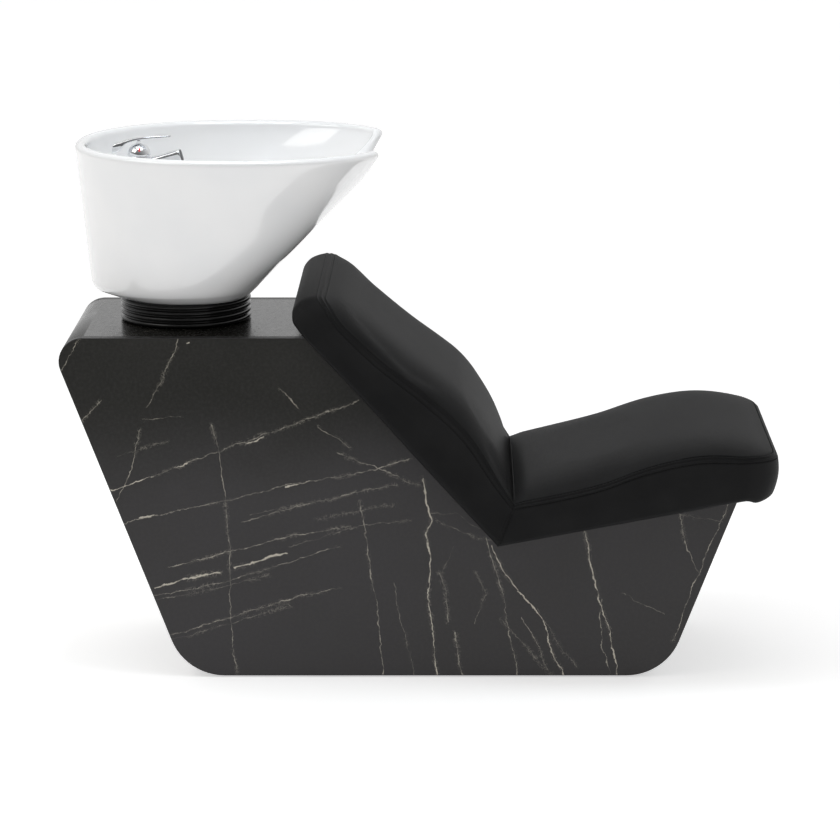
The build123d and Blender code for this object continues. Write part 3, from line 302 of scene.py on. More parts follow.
def marble_shell():
    """The same laminate on the bent shells, with veins that run as thin sheets through space."""
    shader, ground = laminate("shell_laminate", 0.15)
    place = shader.drifted(shader.place, (0.16, 0.16, 0.16), 4.0, 4.0, 0.6)
    broken = shader.noise(20.0, 4.0, 0.7)
    mask = 0.0
    for normal, offset in (((3.1, 5.2, 1.4), 0.55), ((5.6, -3.7, 2.2), 0.2), ((1.7, 7.4, -3.0), 0.3)):
        wave = shader.math("FRACT", shader.math("ADD", shader.vector("DOT_PRODUCT", place, normal), offset))
        mask = shader.math("MAXIMUM", mask, shader.crest(wave, 0.009))
    mask = shader.math("MULTIPLY", mask, shader.ramp(broken, 0.42, 0.66, 0.02, 0.4))
    shader.set(base_color=shader.mix(mask, ground, (0.42, 0.39, 0.34)))
    return shader.material


def vinyl():
    """Black upholstery vinyl with a fine pebbled grain."""
    shader = Shader("black_upholstery")
    soft = shader.noise(14.0, 3.0)
    place = shader.vector("MULTIPLY_ADD", shader.noise(90.0, 2.0, colour=True), (0.0022, 0.0022, 0.0022),
                          shader.place)
    grain = shader.ramp(shader.cells(780.0, place), 0.0, 0.35)
    tone = shader.mix(shader.ramp(soft, 0.3, 0.7), (0.0105, 0.0105, 0.0108), (0.013, 0.013, 0.0133))
    shader.set(base_color=tone, roughness=shader.ramp(grain, 0.0, 1.0, 0.58, 0.44), specular_ior_level=0.06)
    shader.bump(grain, 0.28, 0.00022)
    shader.bump(soft, 0.1, 0.0015)
    return shader.material


def ceramic():
    """White glazed ceramic: even body under a clear, faintly uneven glaze."""
    shader = Shader("white_ceramic")
    wave = shader.noise(9.0, 2.0, 0.4)
    speck = shader.noise(420.0, 2.0, 0.5)
    tone = shader.mix(shader.ramp(wave, 0.3, 0.7), (0.86, 0.865, 0.87), (0.89, 0.89, 0.89))
    shader.set(base_color=shader.mix(shader.ramp(speck, 0.66, 0.74, 0.0, 0.05), tone, (0.7, 0.7, 0.68)),
               roughness=shader.ramp(wave, 0.3, 0.7, 0.14, 0.2), specular_ior_level=0.5,
               coat_weight=1.0, coat_roughness=0.03)
    shader.bump(wave, 0.06, 0.004)
    return shader.material


def metal(name, colour, rough, brushed=None, bump_scale=260.0, bump_strength=0.05):
    """Metal with a finish that varies a little; brushed stretches its grain along one axis."""
    shader = Shader(name)
    grain = shader.noise(bump_scale, 3.0, 0.6, stretch=brushed)
    smudge = shader.noise(24.0, 3.0, 0.6)
    darker = tuple(c * 0.86 for c in colour)
    wear = shader.math("ADD", smudge, shader.math("MULTIPLY", grain, 0.3))
    shader.set(metallic=1.0, base_color=shader.mix(shader.ramp(smudge, 0.35, 0.7), colour, darker),
               roughness=shader.ramp(wear, 0.4, 0.85, rough * 0.8, rough * 1.35))
    shader.bump(grain, bump_strength, 0.0002)
    return shader.material


def moulded(name, colour, rough, grain_scale=500.0, strength=0.12, shine=0.5):
    """Moulded plastic, rubber or powder coat: even colour with a fine surface grain."""
    shader = Shader(name)
    grain = shader.noise(grain_scale, 3.0, 0.6)
    cloud = shader.noise(11.0, 3.0, 0.55)
    lighter = tuple(min(1.0, c * 1.25 + 0.002) for c in colour)
    shader.set(base_color=shader.mix(shader.ramp(cloud, 0.35, 0.7), colour, lighter),
               roughness=shader.ramp(cloud, 0.3, 0.7, rough * 0.9, rough * 1.15), specular_ior_level=shine)
    shader.bump(grain, strength, 0.0002)
    return shader.material


def plywood():
    """Birch plywood under a black stain, with its grain and pores still showing."""
    shader = Shader("plywood")
    ring = shader.noise(22.0, 5.0, 0.7, stretch=(0.35, 3.0, 0.35))
    pores = shader.noise(320.0, 2.0, 0.6, stretch=(0.2, 2.2, 0.2))
    tone = shader.mix(shader.ramp(ring, 0.3, 0.7), (0.03, 0.024, 0.019), (0.018, 0.014, 0.011))
    tone = shader.mix(shader.ramp(pores, 0.5, 0.75, 0.0, 0.4), tone, (0.008, 0.007, 0.006))
    shader.set(base_color=tone, roughness=0.6)
    shader.bump(pores, 0.2, 0.0003)
    return shader.material


MATERIALS = {
    "marble_laminate": marble_panel(),
    "shell_laminate": marble_shell(),
    "black_edging": moulded("black_edging", (0.012, 0.011, 0.011), 0.4, 420.0, 0.1),
    "frame_steel": moulded("frame_steel", (0.02, 0.02, 0.021), 0.48, 380.0, 0.3),
    "zinc_steel": metal("zinc_steel", (0.4, 0.41, 0.41), 0.42, (1.0, 0.2, 1.0), 420.0, 0.12),
    "magnet": moulded("magnet", (0.09, 0.09, 0.1), 0.5),
    "nylon_black": moulded("nylon_black", (0.02, 0.02, 0.02), 0.55, 600.0, 0.2),
    "black_upholstery": vinyl(),
    "plywood": plywood(),
    "white_ceramic": ceramic(),
    "bellows_rubber": moulded("bellows_rubber", (0.0018, 0.0017, 0.0016), 0.2, 700.0, 0.05),
    "seal_rubber": moulded("seal_rubber", (0.015, 0.015, 0.015), 0.6),
    "bronze": metal("bronze", (0.62, 0.42, 0.19), 0.34),
    "stainless": metal("stainless", (0.72, 0.72, 0.71), 0.2, (1.0, 6.0, 1.0), 300.0, 0.06),
    "white_plastic": moulded("white_plastic", (0.78, 0.78, 0.76), 0.42, 420.0, 0.08),
    "chrome": metal("chrome", (0.83, 0.84, 0.86), 0.055, None, 90.0, 0.012),
    "red_mark": moulded("red_mark", (0.6, 0.008, 0.008), 0.65, 500.0, 0.03),
    "spray_grey": moulded("spray_grey", (0.07, 0.07, 0.075), 0.5, 500.0, 0.15),
}


# ---- mesh helpers ----
WELD_DISTANCE = 0.00002
SHARP_ANGLE = 35


def make_piece(name, points, faces, slot):
    """A smooth-shaded mesh in the slot's material."""
    mesh = bpy.data.meshes.new(name)
    mesh.from_pydata([tuple(float(c) for c in p) for p in points], [], faces)
    mesh.validate()
    mesh.shade_smooth()
    mesh.materials.append(MATERIALS[slot])
    piece = bpy.data.objects.new(name, mesh)
    SCENE.collection.objects.link(piece)
    return piece


def grid_faces(rows, columns, wrap_columns=True, wrap_rows=False, first=0):
    """Quads over rows x columns points; the wraps join the last column or row to the first."""
    faces = []
    for r in range(rows if wrap_rows else rows - 1):
        for c in range(columns if wrap_columns else columns - 1):
            a, b = r * columns + c, r * columns + (c + 1) % columns
            up = ((r + 1) % rows) * columns
            faces.append((first + a, first + b, first + up + (c + 1) % columns, first + up + c))
    return faces


def tube_faces(rings, steps, first=0):
    """Quads round a tube of rings with steps points each, and a cap over both ends."""
    last = first + (rings - 1) * steps
    caps = [tuple(first + k for k in reversed(range(steps))), tuple(last + k for k in range(steps))]
    return grid_faces(rings, steps, first=first) + caps


def subdivide(piece):
    """One level of subdivision, the same on screen and in the render."""
    modifier = piece.modifiers.new("smooth", "SUBSURF")
    modifier.levels = modifier.render_levels = 1


def soften(piece, width):
    """Small rounded edges: seams between a mesh's faces are closed first."""
    piece.modifiers.new("weld", "WELD").merge_threshold = WELD_DISTANCE
    bevel = piece.modifiers.new("edge", "BEVEL")
    bevel.width = width
    bevel.segments = 2
    bevel.limit_method = "ANGLE"
    bevel.angle_limit = radians(SHARP_ANGLE)


def smoothstep(value, low, high):
    """0 below low, 1 above high, with a smooth rise between."""
    t = np.clip((value - low) / (high - low), 0.0, 1.0)
    return t * t * (3 - 2 * t)


def catmull(points, count=400):
    """Smooth curve through points, resampled evenly along its length."""
    p = np.array(points, float)
    p = np.vstack([2 * p[0] - p[1], p, 2 * p[-1] - p[-2]])
    dense = []
    for k in range(1, len(p) - 2):
        t = np.linspace(0, 1, 40, endpoint=False)[:, None]
        a, b, c, d = p[k - 1], p[k], p[k + 1], p[k + 2]
        dense.append(0.5 * (2 * b + (c - a) * t + (2 * a - 5 * b + 4 * c - d) * t ** 2
                            + (3 * b - a - 3 * c + d) * t ** 3))
    dense = np.vstack(dense + [p[-2][None]])
    run = np.concatenate([[0], np.cumsum(np.linalg.norm(np.diff(dense, axis=0), axis=1))])
    even = np.linspace(0, run[-1], count)
    return np.column_stack([np.interp(even, run, dense[:, k]) for k in range(p.shape[1])]), run[-1]


# ---- ceramic basin (millimetres, made to metres at the end) ----
PIVOT_X = -438.0
RIM_HEIGHT, SHOULDER_HEIGHT, FOOT_HEIGHT = 973.0, 704.0, 684.0
SHOULDER_ROUND = 14.0
BOWL_FLOOR, DECK_HEIGHT, DECK_EDGE_X = 712.0, 906.0, -497.0
DECK_LEAN = 0.03
# Share of the way over the deck, and height above it.
DECK_STEPS = [(0.0, 3.0), (0.03, 0.6), (0.25, 0.0), (0.5, 0.0), (0.75, 0.0), (0.97, -0.4), (1.0, -3.5)]
# Egg outlines in plan: centre x, reach behind, reach in front, half width.
RIM = np.array([-343.0, 294.0, 306.0, 289.0])
SHOULDER = np.array([-457.0, 155.0, 156.0, 152.0])
FOOT = np.array([PIVOT_X, 118.0, 118.0, 118.0])
# Thickness of the wall, of the lip at its root, and what the neck's saddle adds.
WALL = 13.0
LIP = 21.0
LIP_RISE = 10.0
SADDLE = 42.0
# The neck's notch: half its width, its depth, and how much its horns are rounded.
NOTCH_HALF = 154.0
NOTCH_DEPTH = 62.0
HORN_EASE = 0.08


def egg(angle, shape):
    """Plan point of an egg outline: round behind, squarer towards the neck."""
    centre, back, front, half = shape
    c, s = cos(angle), sin(angle)
    power = 2.0 / (2.5 if c > 0 else 2.1)
    x = centre + (front if c > 0 else -back) * abs(c) ** power
    return np.array([x, (half if s > 0 else -half) * abs(s) ** power])


def shape_at(z):
    """Outline of the outer wall at a height."""
    return SHOULDER + (z - SHOULDER_HEIGHT) / (RIM_HEIGHT - SHOULDER_HEIGHT) * (RIM - SHOULDER)


def outward(angle, shape):
    """Unit plan normal of the outline."""
    tangent = egg(angle + 0.01, shape) - egg(angle - 0.01, shape)
    normal = np.array([tangent[1], -tangent[0]])
    return normal / np.linalg.norm(normal)


def notch_share(y):
    """0 outside the neck notch, 1 at its middle: a steep-sided hollow with rounded horns."""
    bow = max(0.0, 1.0 - (abs(y) / NOTCH_HALF) ** 2)
    return bow * bow * ((1 + HORN_EASE) / (bow + HORN_EASE)) ** 1.5


def rim_height(angle):
    """Height at which the wall ends and the rolled lip begins."""
    y = egg(angle, RIM)[1]
    share = notch_share(y) if cos(angle) > 0 else 0.0
    return RIM_HEIGHT - LIP_RISE - NOTCH_DEPTH * share, share


def wall_at(angle, z, top, share):
    """Thickness of the wall: thicker under the lip and in the neck's saddle."""
    below = max(0.0, top - z)
    return WALL + (LIP - WALL) * np.exp(-below / 20) + SADDLE * share * share * np.exp(-below / 55)


def inner_point(angle, z, top, share):
    """Plan point of the inner wall."""
    shape = shape_at(z)
    return egg(angle, shape) - outward(angle, shape) * wall_at(angle, z, top, share)


def deck_angle(z):
    """Angle at which the inner wall at a height meets the deck's front edge."""
    low, high = radians(60), radians(170)
    for _ in range(30):
        middle = (low + high) / 2
        if inner_point(middle, z, RIM_HEIGHT, 0.0)[0] > DECK_EDGE_X:
            low = middle
        else:
            high = middle
    return low


def basin_angles(count):
    """Column angles, closer together where the rim turns down into the notch."""
    fine = np.linspace(0, pi, 2001)
    line = []
    for a in fine:
        x, y = egg(a, RIM)
        line.append((x, y, rim_height(a)[0]))
    step = np.linalg.norm(np.diff(np.array(line), axis=0), axis=1)
    weight = np.where(fine[1:] < radians(32), 1.9, 1.0) * np.maximum(step, 0.15)
    run = np.concatenate([[0], np.cumsum(weight)])
    half = np.interp(np.linspace(0, run[-1], count + 1), run, fine)
    return list(half) + [-a for a in half[-2:0:-1]]


def basin_column(angle):
    """One closed ring of points from the foot up the outside, over the lip and down the inside."""
    top, share = rim_height(angle)
    foot = np.array([*egg(angle, FOOT), FOOT_HEIGHT])
    shoulder = np.array([*egg(angle, SHOULDER), SHOULDER_HEIGHT])
    wall_start = SHOULDER_HEIGHT + SHOULDER_ROUND
    column = [foot]
    # The shoulder is rounded with a curve that starts on the sloping underside.
    first = foot + 0.78 * (shoulder - foot)
    corner = shoulder - np.array([0.0, 0.0, 1.0])
    last = np.array([*egg(angle, shape_at(wall_start)), wall_start])
    for t in np.linspace(0, 1, 6):
        column.append((1 - t) ** 2 * first + 2 * t * (1 - t) * corner + t * t * last)
    for t in np.linspace(0, 1, 17)[1:]:
        z = wall_start + t * (top - wall_start)
        column.append(np.array([*egg(angle, shape_at(z)), z]))
    # The lip: half an ellipse, square to the rim's own line.
    ahead = [np.array([*egg(angle + d, shape_at(rim_height(angle + d)[0])), rim_height(angle + d)[0]])
             for d in (-0.004, 0.004)]
    tangent = ahead[1] - ahead[0]
    tangent /= np.linalg.norm(tangent)
    normal = np.array([*outward(angle, shape_at(top)), 0.0])
    up = np.cross(normal, tangent)
    up /= np.linalg.norm(up)
    thick = wall_at(angle, top, top, share)
    middle = column[-1] - normal * thick / 2
    rise = LIP_RISE + 2.0 * share
    for t in np.linspace(0, pi, 11)[1:-1]:
        column.append(middle + normal * thick / 2 * cos(t) + up * rise * sin(t))
    # Down the inside to just above the mixer's deck.
    middle_z = min(DECK_HEIGHT + 8.0, top - 10.0)
    for t in np.linspace(0, 1, 9):
        z = top + t * (middle_z - top)
        column.append(np.array([*inner_point(angle, z, top, share), z]))
    drain = np.array([PIVOT_X, 0.0])
    if abs(angle) > DECK_ANGLE:
        start = inner_point(angle, DECK_HEIGHT + 3.0, top, share)
        reach = (DECK_EDGE_X - start[0]) / (drain[0] - start[0])
        edge = start + reach * (drain - start)
        for t, z in DECK_STEPS:
            column.append(np.array([*(start + t * (edge - start)), DECK_HEIGHT + z]))
        low = DECK_HEIGHT - 9.0
        for t in np.linspace(0, 1, 10):
            z = low + t * (BOWL_FLOOR + 14 - low)
            column.append(np.array([DECK_EDGE_X + (DECK_HEIGHT - z) * DECK_LEAN,
                                    edge[1] * corner_y(z) / corner_y(DECK_HEIGHT), z]))
    else:
        for k in range(1, 8):
            z = middle_z - 2.2 * k
            column.append(np.array([*inner_point(angle, z, top, share), z]))
        low = middle_z - 19.0
        for t in np.linspace(0, 1, 10):
            z = low + t * (BOWL_FLOOR + 14 - low)
            turn = angle * deck_angle(z) / DECK_ANGLE if z < DECK_HEIGHT else angle
            column.append(np.array([*inner_point(turn, z, top, share), z]))
    # Rounded corner to the bowl's floor, the drain's seat and hole, and the underside back to the foot.
    foot_in = column[-1][:2]
    towards = (drain - foot_in) / np.linalg.norm(drain - foot_in)
    begin, bend = column[-1], np.array([*(foot_in + towards * 3), BOWL_FLOOR + 2.5])
    end = np.array([*(foot_in + towards * 20), BOWL_FLOOR + 2.0])
    for t in (0.33, 0.66, 1.0):
        column.append((1 - t) ** 2 * begin + 2 * t * (1 - t) * bend + t * t * end)
    flange = drain - towards * 34.5
    for t in (0.3, 0.6, 0.9, 1.0):
        column.append(np.array([*(end[:2] + t * (flange - end[:2])), BOWL_FLOOR + 2.0 * (1 - t)]))
    for radius, z in ((26.0, -0.4), (24.4, -1.2), (24.0, -3.5), (24.0, -24.5), (26.0, -28.0)):
        column.append(np.array([*(drain - towards * radius), BOWL_FLOOR + z]))
    hole = drain - towards * 26.0
    for t in (0.4, 0.97):
        column.append(np.array([*(hole + t * (foot[:2] - hole)), FOOT_HEIGHT]))
    return column


DECK_ANGLE = deck_angle(DECK_HEIGHT)
CORNER_HEIGHTS = np.linspace(BOWL_FLOOR, DECK_HEIGHT, 12)
CORNER_SPREAD = [inner_point(deck_angle(z), z, RIM_HEIGHT, 0.0)[1] for z in CORNER_HEIGHTS]


def corner_y(z):
    """Half width of the bowl's back wall at a height."""
    return np.interp(z, CORNER_HEIGHTS, CORNER_SPREAD)


columns = [basin_column(a) for a in basin_angles(120)]
rows = len(columns[0])
basin_points = [columns[c][r] * MM for r in range(rows) for c in range(len(columns))]
basin = make_piece("basin_ceramic", basin_points, grid_faces(rows, len(columns), True, True), "white_ceramic")
subdivide(basin)
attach(basin, "basin_carriage")
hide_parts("basin")

# ---- bellows ----
RINGS, RING_STEPS, ROUND = 4, 8, 128
RING_DEPTH, RUBBER = 7.5 * MM, 2.5 * MM


def bellows():
    """Ringed rubber collar under the basin."""
    low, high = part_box("bellows")
    centre_x = (low.x + high.x) / 2
    outside = []
    for k in range(RINGS * RING_STEPS + 1):
        lobe = abs(sin(pi * k / RING_STEPS)) ** 0.55
        z = low.z + (high.z - low.z) / RINGS * k / RING_STEPS
        outside.append(((high.x - low.x) / 2 - RING_DEPTH * (1 - lobe), z))
    profile = outside + [(radius - RUBBER, z) for radius, z in reversed(outside)]
    points = []
    for radius, z in profile:
        for k in range(ROUND):
            turn = 2 * pi * k / ROUND
            points.append((centre_x + radius * cos(turn), radius * sin(turn), z))
    rings = make_piece("bellows_rings", points, grid_faces(len(profile), ROUND, True, True), "bellows_rubber")
    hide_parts("bellows")
    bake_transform(rings)


bellows()

# ---- cushions (millimetres, made to metres at the end) ----
# Half width of the flat pattern, and of the span over which a cushion's top is puffed.
HALF_WIDTH = 281.0
CUSHION_HALF = 285.0
# Radius of the rolled edges, the seam's place on that roll, and the stitches' distance from the seam.
ROLL = 10.0
SEAM_INSET = ROLL * (1 - sqrt(0.5))
ROW = 5.0
# How far the simulated cloth may move a point.
CLOTH_CAP = 4.0
# Side views as (x, z): the seam, the crown in the middle of the top, and the underside. Bulge swells
# the free end.
BACK = {
    "seam": [(171, 345), (135, 390), (80, 473), (5, 542), (-80, 608), (-150, 678), (-182, 717)],
    "crown": [(170, 350), (155, 410), (120, 480), (70, 545), (-15, 610), (-90, 672), (-135, 710),
              (-175, 723)],
    "under": [(142, 268), (20, 403), (-100, 538), (-213, 660), (-227, 674), (-231, 686)],
    "bulge": (-10.0, 9.0),
    "corner": 66.0,
}
SEAT = {
    "seam": [(167, 345), (255, 361), (330, 380), (405, 409), (490, 430), (560, 432), (650, 422)],
    "crown": [(170, 365), (255, 388), (350, 413), (440, 441), (525, 454), (590, 448), (650, 430)],
    "under": [(137, 268), (300, 299), (460, 329), (580, 351), (608, 345), (641, 347)],
    "bulge": (8.0, 0.0),
    "corner": 84.0,
}
# Distances from a panel's seam at which the mesh has a line, in mm.
FINE_EDGE = [0, 0.8, 1.6, 2.5, 3.4, 4.2, 5.0, 5.8, 6.8, 8.5, 12, 19, 30]
COARSE_EDGE = [0, 7, 16, 30]


def edge_spread(length, edge, step):
    """Line positions over a length: close together at both ends and even between."""
    inner = length - 2 * edge[-1]
    count = max(2, int(round(inner / step)))
    middle = [edge[-1] + inner * k / count for k in range(1, count)]
    return np.array(list(edge) + middle + [length - d for d in reversed(edge)])


class Cushion:
    """A padded block that follows two curves in the side view.

    Flat space has a along the length, y across and d down from the top. The first millimetres of a
    are stretched, so that the edge at the crease is rounded less than the others.
    """

    STRETCH, STRETCHED = 2.5, 20.0

    def __init__(self, outline, edge, step):
        self.seam, self.length = catmull(outline["seam"])
        self.crown, _ = catmull(outline["crown"])
        self.under, _ = catmull(outline["under"])
        self.bulge = np.array(outline["bulge"])
        self.corner = outline["corner"]
        self.flat_length = self.length + self.STRETCHED * (1 - 1 / self.STRETCH)
        self.thick = float(np.linalg.norm(self.seam - self.under, axis=1).mean())
        along = edge_spread(self.flat_length - 2 * SEAM_INSET, edge, step) + SEAM_INSET
        across = edge_spread(2 * (HALF_WIDTH - SEAM_INSET), edge, step) - HALF_WIDTH + SEAM_INSET
        down = edge_spread(self.thick - 2 * SEAM_INSET, edge, step * 0.8) + SEAM_INSET
        self.build(along, across, down)

    def corner_radius(self, a):
        """Plan radius of the corners: large at the free end, small at the crease."""
        return self.corner if a > self.flat_length / 2 else 9.0

    def round_plan(self, a, y):
        """Bends the square grid's corners into round ones and gives the outward normal there."""
        radius, edge = self.corner_radius(a) - SEAM_INSET, HALF_WIDTH - SEAM_INSET
        end, to_end = (self.flat_length - SEAM_INSET, 1.0) if a > self.flat_length / 2 else (SEAM_INSET, -1.0)
        p = ((a - end) * to_end + radius) / radius
        q = (abs(y) - edge + radius) / radius
        side = 1.0 if y >= 0 else -1.0
        if p > 0 and q > 0:
            pp, qq = p * sqrt(max(0, 1 - q * q / 2)), q * sqrt(max(0, 1 - p * p / 2))
            a = end + to_end * (pp - 1) * radius
            y = side * (edge + (qq - 1) * radius)
            size = max(1e-6, sqrt(pp * pp + qq * qq))
            return a, y, np.array([to_end * pp / size, side * qq / size])
        return a, y, np.array([to_end, 0.0]) if q <= 0 or p > q else np.array([0.0, side])

    def inset(self, a, y):
        """Distance of a flat point inside the cushion's outline in plan."""
        radius = self.corner_radius(a)
        p = (a - self.flat_length if a > self.flat_length / 2 else -a) + radius
        q = abs(y) - HALF_WIDTH + radius
        if p > 0 and q > 0:
            return radius - sqrt(p * p + q * q)
        return radius - max(p, q)

    def place(self, a, y, d):
        """Flat point to the row frame, in mm."""
        real = a / self.STRETCH if a < self.STRETCHED else a - self.STRETCHED * (1 - 1 / self.STRETCH)
        share = np.clip(real / self.length, 0, 1) * (len(self.seam) - 1)
        k = min(int(share), len(self.seam) - 2)
        t = share - k
        lines = (self.seam, self.crown, self.under)
        seam, crown, under = (line[k] * (1 - t) + line[k + 1] * t for line in lines)
        puff = (1 - min(1.0, abs(y) / CUSHION_HALF) ** 6.5) * min(1.0, real / 40 + 0.5)
        top = seam + (crown - seam) * puff
        f = d / self.thick
        nose = smoothstep(real / self.length, 0.9, 1.0) * 4 * f * (1 - f)
        x, z = top + (under - top) * f + self.bulge * nose
        return np.array([x, y, z])

    def roll(self, distance):
        """How far the surface falls back at a distance from an edge that is rolled."""
        distance = min(ROLL, max(0.0, distance))
        return ROLL - sqrt(ROLL ** 2 - (ROLL - distance) ** 2)

    def build(self, along, across, down):
        """Top and bottom grids, joined by rings round the sides."""
        rows, columns = len(along), len(across)
        points, self.flat = [], []
        plan = [[self.round_plan(a, y) for y in across] for a in along]

        def add(a, y, d):
            self.flat.append((a, y, d))
            points.append(self.place(a, y, d))
            return len(points) - 1

        top = [[add(a, y, self.roll(self.inset(a, y))) for a, y, _ in row] for row in plan]
        bottom = [[add(a, y, self.thick - self.roll(self.inset(a, y))) for a, y, _ in row] for row in plan]
        rim = [(0, c) for c in range(columns)] + [(r, columns - 1) for r in range(1, rows)]
        rim += [(rows - 1, c) for c in range(columns - 2, -1, -1)] + [(r, 0) for r in range(rows - 2, 0, -1)]
        rings = [[top[r][c] for r, c in rim]]
        for d in down[1:-1]:
            back = self.roll(min(d, self.thick - d))
            ring = []
            for r, c in rim:
                a, y, normal = plan[r][c]
                ring.append(add(*(np.array([a, y]) + normal * (SEAM_INSET - back)), d))
            rings.append(ring)
        rings.append([bottom[r][c] for r, c in rim])
        faces = []
        for r in range(rows - 1):
            for c in range(columns - 1):
                faces.append((top[r][c], top[r + 1][c], top[r + 1][c + 1], top[r][c + 1]))
                faces.append((bottom[r][c], bottom[r][c + 1], bottom[r + 1][c + 1], bottom[r + 1][c]))
        for upper, lower in zip(rings, rings[1:]):
            for k in range(len(rim)):
                n = (k + 1) % len(rim)
                faces.append((upper[k], upper[n], lower[n], lower[k]))
        self.points, self.faces = np.array(points) * MM, faces

    def groove(self, a, y, d):
        """Depth in mm that seams and stitching pull the cover in at a flat point."""
        inset = self.inset(a, y)
        side_edge = HALF_WIDTH - abs(y)
        depth = 0.0
        if d < 30:
            arc = max(inset, d) - SEAM_INSET
            seam = np.exp(-(arc / 0.85) ** 2)
            row = np.exp(-((arc - ROW) / 0.8) ** 2)
            depth = 1.3 * seam + 1.2 * row - 0.5 * np.exp(-((arc - ROW / 2) / 1.2) ** 2)
            if a < 25 and inset - a / 2 < 0 and side_edge > 12:
                depth = 0.0
        if d > 3 and side_edge < 6 and a < 40:
            depth = max(depth, 0.8 * np.exp(-((a / self.STRETCH - 6.0) / 1.3) ** 2))
        return depth


def inflate(name, outline):
    """Cloth simulation of the cover on a coarse copy. Gives its rest points and their moves."""
    coarse = Cushion(outline, COARSE_EDGE, 15.0)
    piece = make_piece(name, coarse.points, coarse.faces, "black_upholstery")
    held = piece.vertex_groups.new(name="held")
    for k, (a, y, d) in enumerate(coarse.flat):
        near_seam = coarse.inset(a, y) < 6 and d < 8
        weight = 1.0 if d > coarse.thick * 0.8 else 0.75 if near_seam else 0.2
        if a < 12:
            weight = 1.0
        held.add([k], weight, "REPLACE")
    cloth = piece.modifiers.new("cloth", "CLOTH")
    settings = cloth.settings
    settings.quality = 6
    settings.mass = 0.4
    settings.tension_stiffness = settings.compression_stiffness = 30
    settings.shear_stiffness = 20
    settings.bending_stiffness = 4
    settings.use_pressure = True
    settings.uniform_pressure_force = 4
    settings.effector_weights.gravity = 0
    settings.vertex_group_mass = "held"
    for number in range(1, 21):
        SCENE.frame_set(number)
    moved = piece.evaluated_get(bpy.context.evaluated_depsgraph_get()).to_mesh()
    now = np.empty(len(moved.vertices) * 3)
    moved.vertices.foreach_get("co", now)
    shift = now.reshape(-1, 3) - coarse.points
    bpy.data.objects.remove(piece)
    SCENE.frame_set(1)
    size = np.linalg.norm(shift, axis=1, keepdims=True)
    most, mean = float(size.max()) / MM, float(size.mean()) / MM
    print(name, "cloth moved", round(most, 1), "mm at most, mean", round(mean, 2))
    return coarse.points, shift * np.minimum(1.0, CLOTH_CAP * MM / np.maximum(size, 1e-9))


def carried(points, rest, shift):
    """The coarse copy's moves at other points, blended from the nearest ones."""
    tree = KDTree(len(rest))
    for k, p in enumerate(rest):
        tree.insert(p, k)
    tree.balance()
    moves = np.zeros_like(points)
    for k, p in enumerate(points):
        near = tree.find_n(p, 8)
        weights = np.array([1 / (0.004 + d) ** 3 for _, _, d in near])
        moves[k] = (weights[:, None] * shift[[i for _, i, _ in near]]).sum(0) / weights.sum()
    return moves


def vertex_normals(points, faces):
    """Unit normals at the points of a quad mesh."""
    quads = points[np.array(faces)]
    face = np.cross(quads[:, 2] - quads[:, 0], quads[:, 3] - quads[:, 1])
    normals = np.zeros_like(points)
    for corner in range(4):
        np.add.at(normals, np.array(faces)[:, corner], face)
    return normals / np.maximum(np.linalg.norm(normals, axis=1, keepdims=True), 1e-12)


def stitches(name, paths, tree, pitch=6.2, length=4.6, radius=0.55):
    """Thread along each path, as short raised stitches laid on the cover."""
    points, faces = [], []
    around = 6
    for path in paths:
        path = np.array(path) * MM
        run = np.concatenate([[0], np.cumsum(np.linalg.norm(np.diff(path, axis=0), axis=1))])
        for middle in np.arange(pitch * MM, run[-1] - pitch * MM / 2, pitch * MM):
            ends = []
            for offset in (-0.5, -0.36, 0.0, 0.36, 0.5):
                at = middle + offset * length * MM
                p = Vector([np.interp(at, run, path[:, k]) for k in range(3)])
                spot, normal, _, distance = tree.find_nearest(p)
                if spot is None or distance > 0.02:
                    ends = []
                    break
                ends.append((spot, normal, offset))
            if not ends:
                continue
            axis = (ends[-1][0] - ends[0][0]).normalized()
            for spot, normal, offset in ends:
                across = axis.cross(normal).normalized()
                thick = radius * MM * (0.35 if abs(offset) == 0.5 else 1.0)
                lift = normal * radius * MM * (0.75 - 2.4 * offset * offset)
                for k in range(around):
                    turn = 2 * pi * k / around
                    points.append(spot + lift + across * thick * cos(turn) + normal * thick * sin(turn))
            first = len(points) - 5 * around
            faces += tube_faces(5, around, first)
    piece = make_piece(name, points, faces, "black_upholstery")
    piece.data.materials.clear()
    piece.data.materials.append(THREAD)
    return piece


THREAD = moulded("black_thread", (0.005, 0.005, 0.005), 0.7, 900.0, 0.25, 0.05)


def seam_paths(cushion):
    """Lines of stitching in mm: round the top panel, below its seam, and beside the crease on both sides."""
    paths = []
    top_inset = SEAM_INSET + ROW
    for inset, depth in ((top_inset, 0.0), (0.0, top_inset)):
        half, end, radius = HALF_WIDTH - inset, cushion.flat_length - inset, cushion.corner - inset
        bend, side = end - radius, half - radius
        quarter = np.linspace(0, pi / 2, 16)
        flat = [(a, -half) for a in np.arange(8, bend, 4.0)]
        flat += [(bend + radius * sin(t), -side - radius * cos(t)) for t in quarter]
        flat += [(end, y) for y in np.arange(-side, side, 4.0)]
        flat += [(bend + radius * cos(t), side + radius * sin(t)) for t in quarter]
        flat += [(a, half) for a in np.arange(bend, 8, -4.0)]
        paths.append([cushion.place(a, y, depth) for a, y in flat])
    for side in (-1, 1):
        paths.append([cushion.place(6.0 * cushion.STRETCH, side * HALF_WIDTH, d)
                      for d in np.arange(14, cushion.thick - 3, 4.0)])
    return paths


